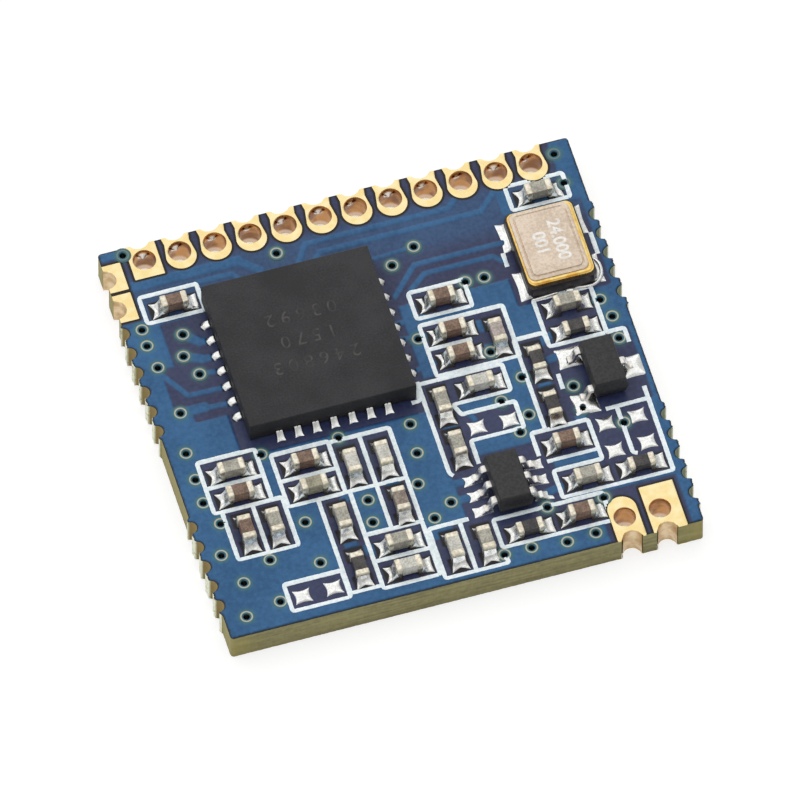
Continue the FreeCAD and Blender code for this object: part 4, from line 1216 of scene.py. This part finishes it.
# Each bead of spilt solder: its way on the deck, its half width and its height
BEADS = (
    (((7.80, 3.20), (7.96, 3.08), (8.05, 2.90), (8.06, 2.66), (8.00, 2.42), (7.85, 2.22), (7.60, 2.10), (7.28, 2.12),
      (6.95, 2.19)), 0.085, 0.10),
    (((5.40, 2.10), (5.80, 2.12), (6.10, 2.14), (6.40, 2.16)), 0.08, 0.08),
    (((6.60, 2.12), (6.76, 2.10), (6.92, 2.08)), 0.15, 0.16),
)
BEAD_STEPS = 40
tub = Surface("black_tub", roughness=0.35)
fired = tub.noise(9000, 3)
tub.feed(base_color=tub.mottled(fired, (30, 25, 30), (52, 44, 48)))
ring_gold = Surface("ring_gold", metallic=1.0)
worn = ring_gold.noise(5000, 3)
ring_gold.feed(base_color=ring_gold.mottled(worn, (240, 196, 104), (255, 226, 150)),
               roughness=worn * 0.15 + 0.22)
for node, look in (("crystal_base", tub), ("crystal_seal_ring", ring_gold)):
    for material_slot in frame["nodes"][node].material_slots:
        material_slot.material = look.owner
lid_look = Surface("lid_nickel", metallic=0.85)
brushed = lid_look.noise(12000, 3)
clouds = lid_look.noise(1200, 2)
lid_look.feed(base_color=lid_look.mottled(brushed * 0.6 + clouds * 0.4, (206, 188, 168), (232, 215, 196)),
              roughness=brushed * 0.12 + 0.34,
              normal=lid_look.bump(0.25, 0.000004, brushed))
lid_centre, _ = middle_of("crystal_lid")
# Levels of the lid and of the ring: inset, height and corner radius
lid_levels = [(0, LID_Z, 0.25), (0, LID_Z + 0.075, 0.25), (0.012, LID_Z + 0.10, 0.24), (0.04, LID_Z + 0.112, 0.21),
              (0.125, LID_Z + 0.112, 0.20), (0.15, LID_Z + 0.085, 0.20), (0.17, LID_Z + 0.085, 0.20),
              (0.195, LID_Z + 0.125, 0.18), (0.24, LID_TOP, 0.15), (np.inf, LID_TOP, 0)]
ring_levels = [(0.02, LID_Z - 0.10, 0.25), (0, LID_Z - 0.085, 0.26), (0, LID_Z + 0.045, 0.26),
               (0.02, LID_Z + 0.06, 0.24), (0.12, LID_Z + 0.06, 0.20)]
piece("crystal_cover",
      [sheet(loops(lid_centre + LID_SHIFT, LID_SIZE, lid_levels, 8), lid_look, loop=True),
       sheet(loops(lid_centre, RING_SIZE, ring_levels, 8), ring_gold, loop=True)],
      ["crystal_lid"], crease=40)
print_ink = Surface("lid_print", roughness=0.5)
thin = print_ink.noise(6000, 2)
print_ink.feed(base_color=print_ink.mottled(thin, (228, 222, 212), (246, 242, 236)))
lettering("lid_mark", LID_MARK, LID_MARK_H, LID_MARK_PITCH, lid_centre + LID_MARK_SHIFT, -90,
          LID_TOP + MARK_LIFT, print_ink, LID_MARK_BOLD)


def bead(way, half_width, height):
    """A rounded ridge of solder along a way: a half circle swept along it and drawn in at both ends, where its
    size is sqrt(1 - s^6), with s from -1 to 1 along the bead."""
    steps = np.linspace(0, len(way) - 1, BEAD_STEPS)
    line = np.stack([np.interp(steps, np.arange(len(way)), axis) for axis in np.transpose(way)], -1)
    line[1:-1] = (line[:-2] + line[1:-1] + line[2:]) / 3
    bend = np.linspace(0, np.pi, 9)
    swell = np.sqrt(1 - np.linspace(-1, 1, BEAD_STEPS) ** 6)[:, None]
    flat = line[:, None] + sideways(line)[:, None] * (half_width * swell * np.cos(bend))[..., None]
    return raised(flat, DECK + 0.01 + height * swell * np.sin(bend))


corner_signs = np.array(((-1, -1), (-1, 1), (1, -1), (1, 1)))
tub_centre, tub_size = middle_of("crystal_base")
feet = tub_centre + corner_signs * (tub_size[0] / 2, CRYSTAL_LAND_PITCH / 2)
grids = joints(feet, corner_signs * (1, 0), start=-0.60, face=0.0, reach=0.30, half=0.62, metal_half=0.50, rise=0.14,
               pinch=0.05)
crystal_sheets = [sheet(grids, solder)] + [sheet(bead(*given), solder) for given in BEADS]
piece("crystal_joints", crystal_sheets, ["crystal_solder"], crease=40)


# The two moulded packages: matt black bodies that taper both ways from the parting line,
# with tinned leads that leave it, turn down and lie on their lands in solder.
SOT_SIZE = np.array((1.25, 2.05))
SOT_H = 0.90
SOT_STAND = 0.08
SOT_DRAFT = 0.07
SOT_SOFT = 0.05
SOT_SPAN = 2.10
LEAD_T = 0.15
LEAD_W = 0.28
BEND_FROM = 0.71
BEND_L = 0.20
ROOT = 0.20


def bent_leads(centre, leads, lead_pitch):
    """Gull-wing leads, each from its side's sign and its place in pitches: a strip of rounded section swept out
    along u and down a smooth step, z = middle + (foot - middle) ease((u - start) / length)."""
    middle = SEAT + (SOT_STAND + SOT_H) / 2
    tip = SOT_SPAN / 2
    u = np.concatenate([np.linspace(SOT_SIZE[0] / 2 - ROOT, BEND_FROM - 0.02, 4),
                        np.linspace(BEND_FROM, BEND_FROM + BEND_L, 14),
                        np.linspace(BEND_FROM + BEND_L + 0.02, tip, 4)])
    foot_z = SEAT + LEAD_T / 2
    z = middle + (foot_z - middle) * ease((u - BEND_FROM) / BEND_L)
    slope = np.gradient(z, u)
    normal = np.stack([-slope, np.ones_like(slope)], -1) / np.hypot(slope, 1)[:, None]
    section = np.array(((1, -0.7), (1, 0.7), (0.8, 1), (-0.8, 1), (-1, 0.7), (-1, -0.7), (-0.8, -1), (0.8, -1)))
    side, up = section[:, 0] * LEAD_W / 2, section[:, 1] * LEAD_T / 2
    grids = []
    for sign, row in leads:
        x = centre[0] + sign * (u[:, None] + normal[:, :1] * up)
        y = centre[1] + lead_pitch * row + side * sign + 0 * x
        skin = np.stack([x, y, z[:, None] + normal[:, 1:] * up], -1)
        closed_tip = skin[-1:].mean(1, keepdims=True) + 0 * skin[-1:]
        grids.append(np.concatenate([skin, closed_tip]))
    return np.array(grids)


mould = Surface("black_mould", roughness=0.55)
grit = mould.noise(12000, 4)
mould.feed(base_color=mould.mottled(grit, (30, 30, 32), (46, 46, 48)),
           normal=mould.bump(0.5, 0.000006, grit))
# Each package's leads, by side and row, their pitch, how far their joints reach, and the places
# and sizes of its lands where they show
PACKAGES = (
    ("aerial_switch", [(side, row) for side in (-1, 1) for row in (-1, 0, 1)], 0.65, 0.42, ()),
    ("transistor", [(-1, -1), (-1, 1), (1, 0)], 0.80, 0.22,
     ((5.95, -0.50, 0.92, 0.86), (5.96, -2.47, 0.94, 0.92), (7.94, -1.47, 0.86, 0.94))),
)
LAND_SOLDER_H = 0.10
for name, leads, lead_pitch, joint_reach, lands in PACKAGES:
    centre, _ = middle_of(name + "_body")
    levels = soft_levels(SEAT + SOT_STAND, SOT_H - SOT_STAND, SOT_SOFT, SOT_DRAFT)
    body = sheet(loops(centre, SOT_SIZE, levels), mould, loop=True)
    piece(name + "_package", [body], [name + "_body"], crease=50)
    lead_skins = sheet(bent_leads(centre, leads, lead_pitch), terminal_tin, loop=True)
    piece(name + "_bent_leads", [lead_skins], [name + "_leads"], crease=50)
    signs, rows = np.array(leads).T
    feet = np.stack([centre[0] + signs * (SOT_SPAN / 2), centre[1] + lead_pitch * rows], -1)
    grids = joints(feet, np.stack([signs, 0 * signs], -1), start=-0.30, face=0.0, reach=joint_reach, half=0.22,
                   metal_half=LEAD_W / 2, rise=0.13, pinch=0.04)
    sheets = [sheet(grids, solder)]
    for x, y, length, width in lands:
        land = sheet(pillows((x, y), (length, width), LAND_SOLDER_H, pinch=0.08), solder)
        sheets.append(kept(land, lambda x, y: vias_away(x, y) > VIA_HOLE_R))
    piece(name + "_joints", sheets, [name + "_solder"], crease=40)

low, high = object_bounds()
